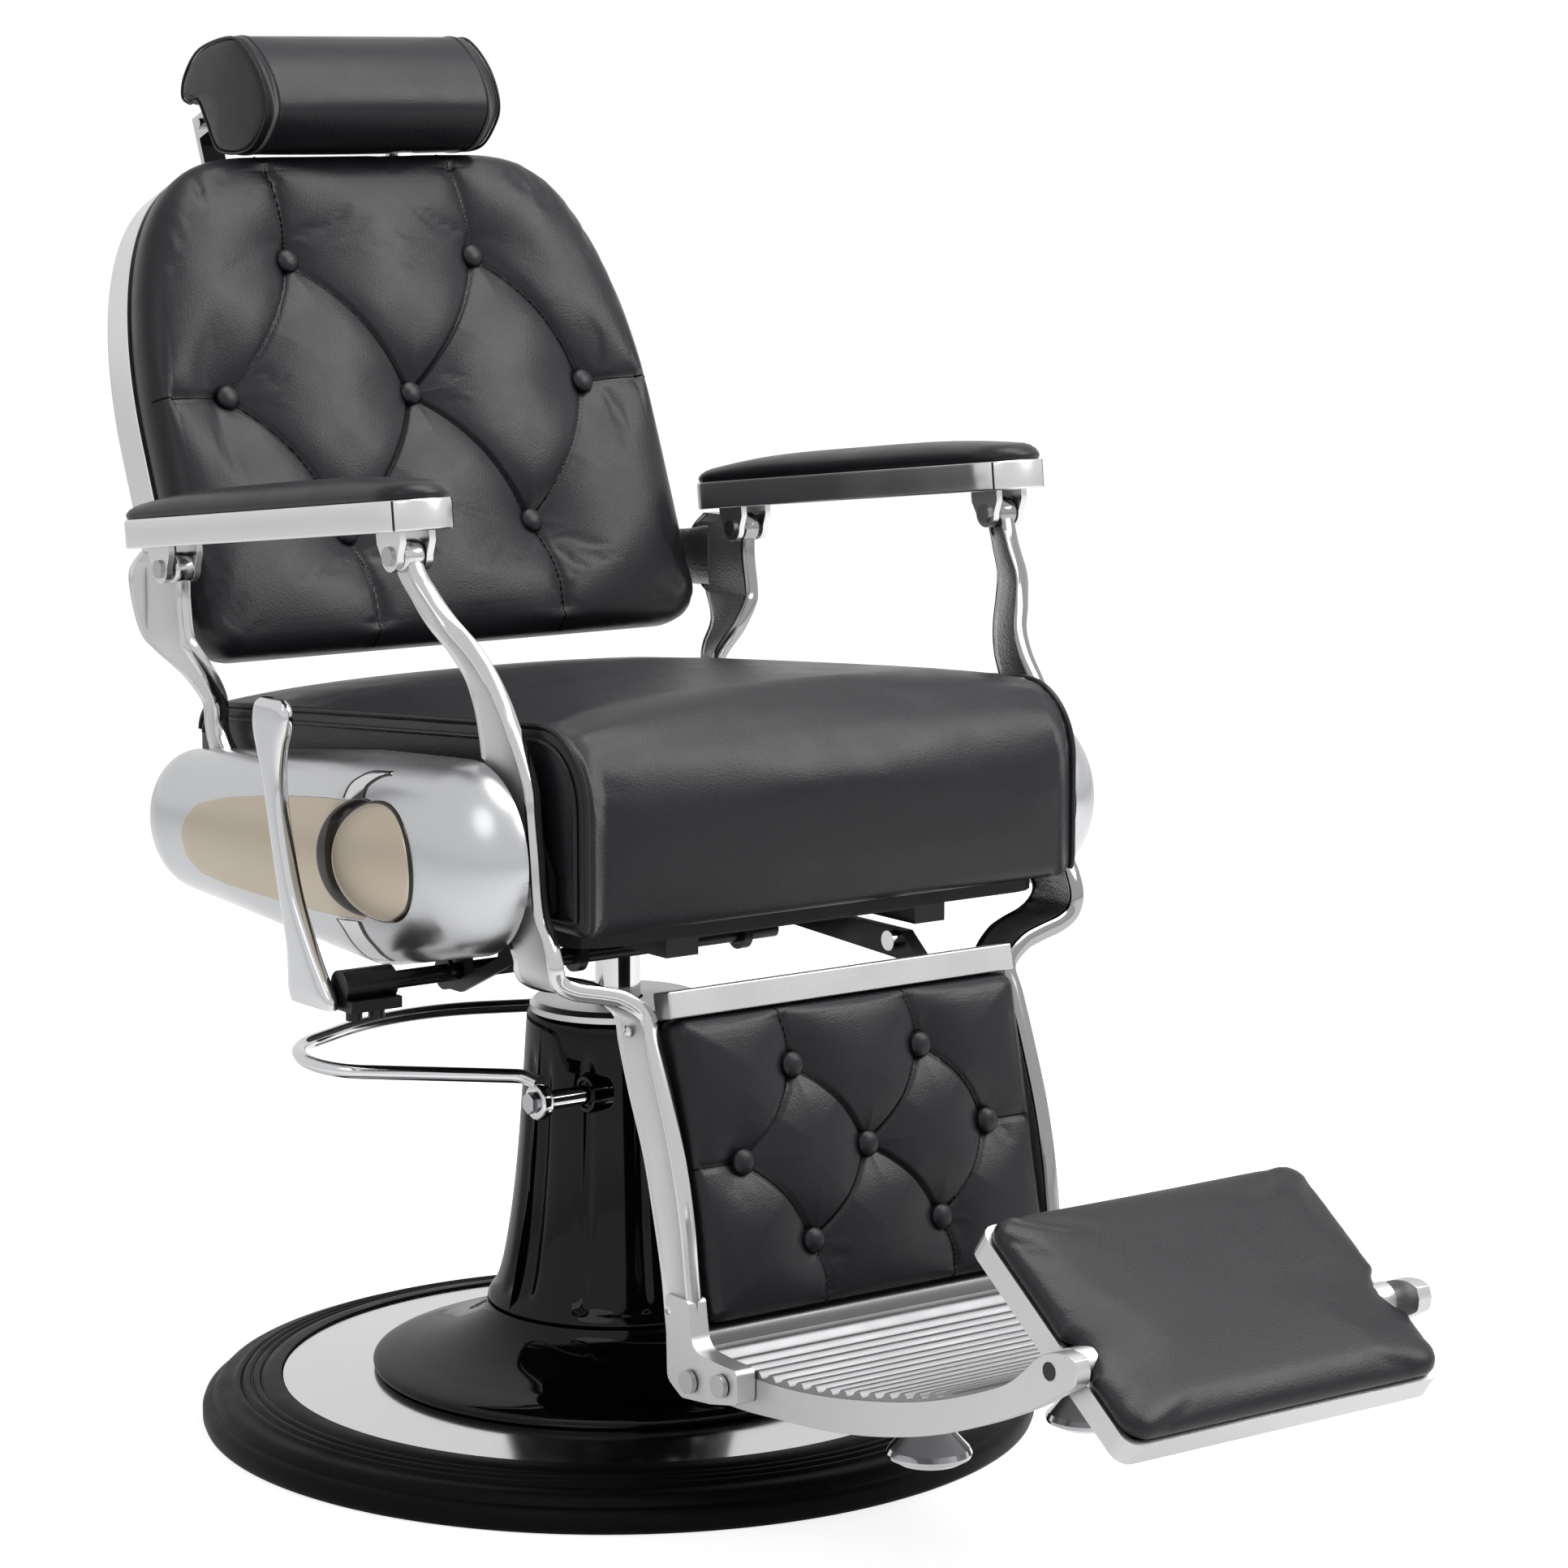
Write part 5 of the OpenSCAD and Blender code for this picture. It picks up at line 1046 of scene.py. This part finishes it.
def column_half(sign):
    """Half of the column cover. Its radius drops in twelve grooves, as the fourteenth power of a cosine round
    the column; they fade out near the foot and the top."""
    z, r = curve(COLUMN, 70).T
    fade = np.clip((z - 108) / 10, 0, 1) * np.clip((316 - z) / 30, 0, 1)
    gap, wall = math.asin(0.15 / 90), 4
    a = np.linspace(gap, math.pi - gap, 240)
    groove = np.abs(np.cos(6 * (a + math.radians(8)))) ** 14
    outer = r[:, None] - 3.2 * fade[:, None] * groove
    radius = np.vstack([outer, 0 * outer + r[::-1, None] - wall])
    height = np.concatenate([z, np.clip(z[::-1], 97, 338)])[:, None] + 0 * a
    grid = np.stack([radius * np.cos(a), sign * radius * np.sin(a), height], axis=-1)
    return skin(np.swapaxes(grid, 0, 1))


def make_pedal():
    """Pedal loop: a chromed bar bent round the column, rising a little to the rear, with an eye per end."""
    half, bar = 112, 6
    corners = [[-half, 0, 0], [-half, 24, 14], [-311, 146, 53], [-106, 232, 220], [half, 166, 60],
               [half, 0, 0]]
    path = level(even(rounded(corners, steps=24), 220), 15)
    parts = [tube(on_panel(((PEDAL_Y, PEDAL_Z), 5), path), bar, 24)]
    profile = [(8.4, -5.2), (13, -5.2), (14.2, -4.6), (15, -3.2), (15, 3.2), (14.2, 4.6), (13, 5.2),
               (8.4, 5.2)]
    parts += [lathe(profile, 48, "x", (x, PEDAL_Y, PEDAL_Z), wrap=True) for x in (-half, half)]
    piece("pedal_loop_chromed", parts, CHROME, "pedal", ["pedal_loop"])
    profile = [(8.6, 50), (15, 50), (15.6, 66), (14.6, 68), (11.6, 68.4), (10.8, 66), (8.6, 65)]
    collar = lathe(profile, 48, "x", (0, PEDAL_Y, PEDAL_Z), wrap=True)
    piece("pedal_collars", both([collar]), GLOSS, "base")


def make_shell():
    """Backrest shell: a pan with a rolled rim and a rounded back. Its lower edge is drawn up by the square of
    the depth below the buttons."""
    rows = [(3.4, SHELL_FRONT - 0.4), (0.8, SHELL_FRONT), (0, SHELL_FRONT - 0.9), (0, -62), (0.9, -66.6),
            (3.2, -69.2), (7, SHELL_BACK)]
    rings = np.array([level(back_outline(i), n) for i, n in rows + [(7, SHELL_BACK)] * 3])
    rings[-3:, :, :2] *= np.reshape([0.9, 0.6, 0.3], (3, 1, 1))
    below = np.clip((-rings[..., 1] - 120) / 100, 0, 1)
    rings[..., 1] += (5 + 25 * (SHELL_FRONT - rings[..., 2]) / 42) * below ** 2
    piece("back_shell_polished", [skin(on_panel(BACK_PANEL, rings))], RIM, "back",
          ["back_shell", "back_board"])


make_camera()
make_stage()
dress_nodes()
make_base()
make_pedal()
make_seat_cushion()
make_back_cushion()
make_shell()
make_headrest()
for side, name in ((-1, "right"), (1, "left")):
    make_arm(side, name)
    make_front_frame(side, name)
    make_rear_frame(side, name)
    make_housing(side, name)
make_lever()
make_leg_screws()
make_calf_rail()
make_calf_cushion()
make_step()
make_footplate()
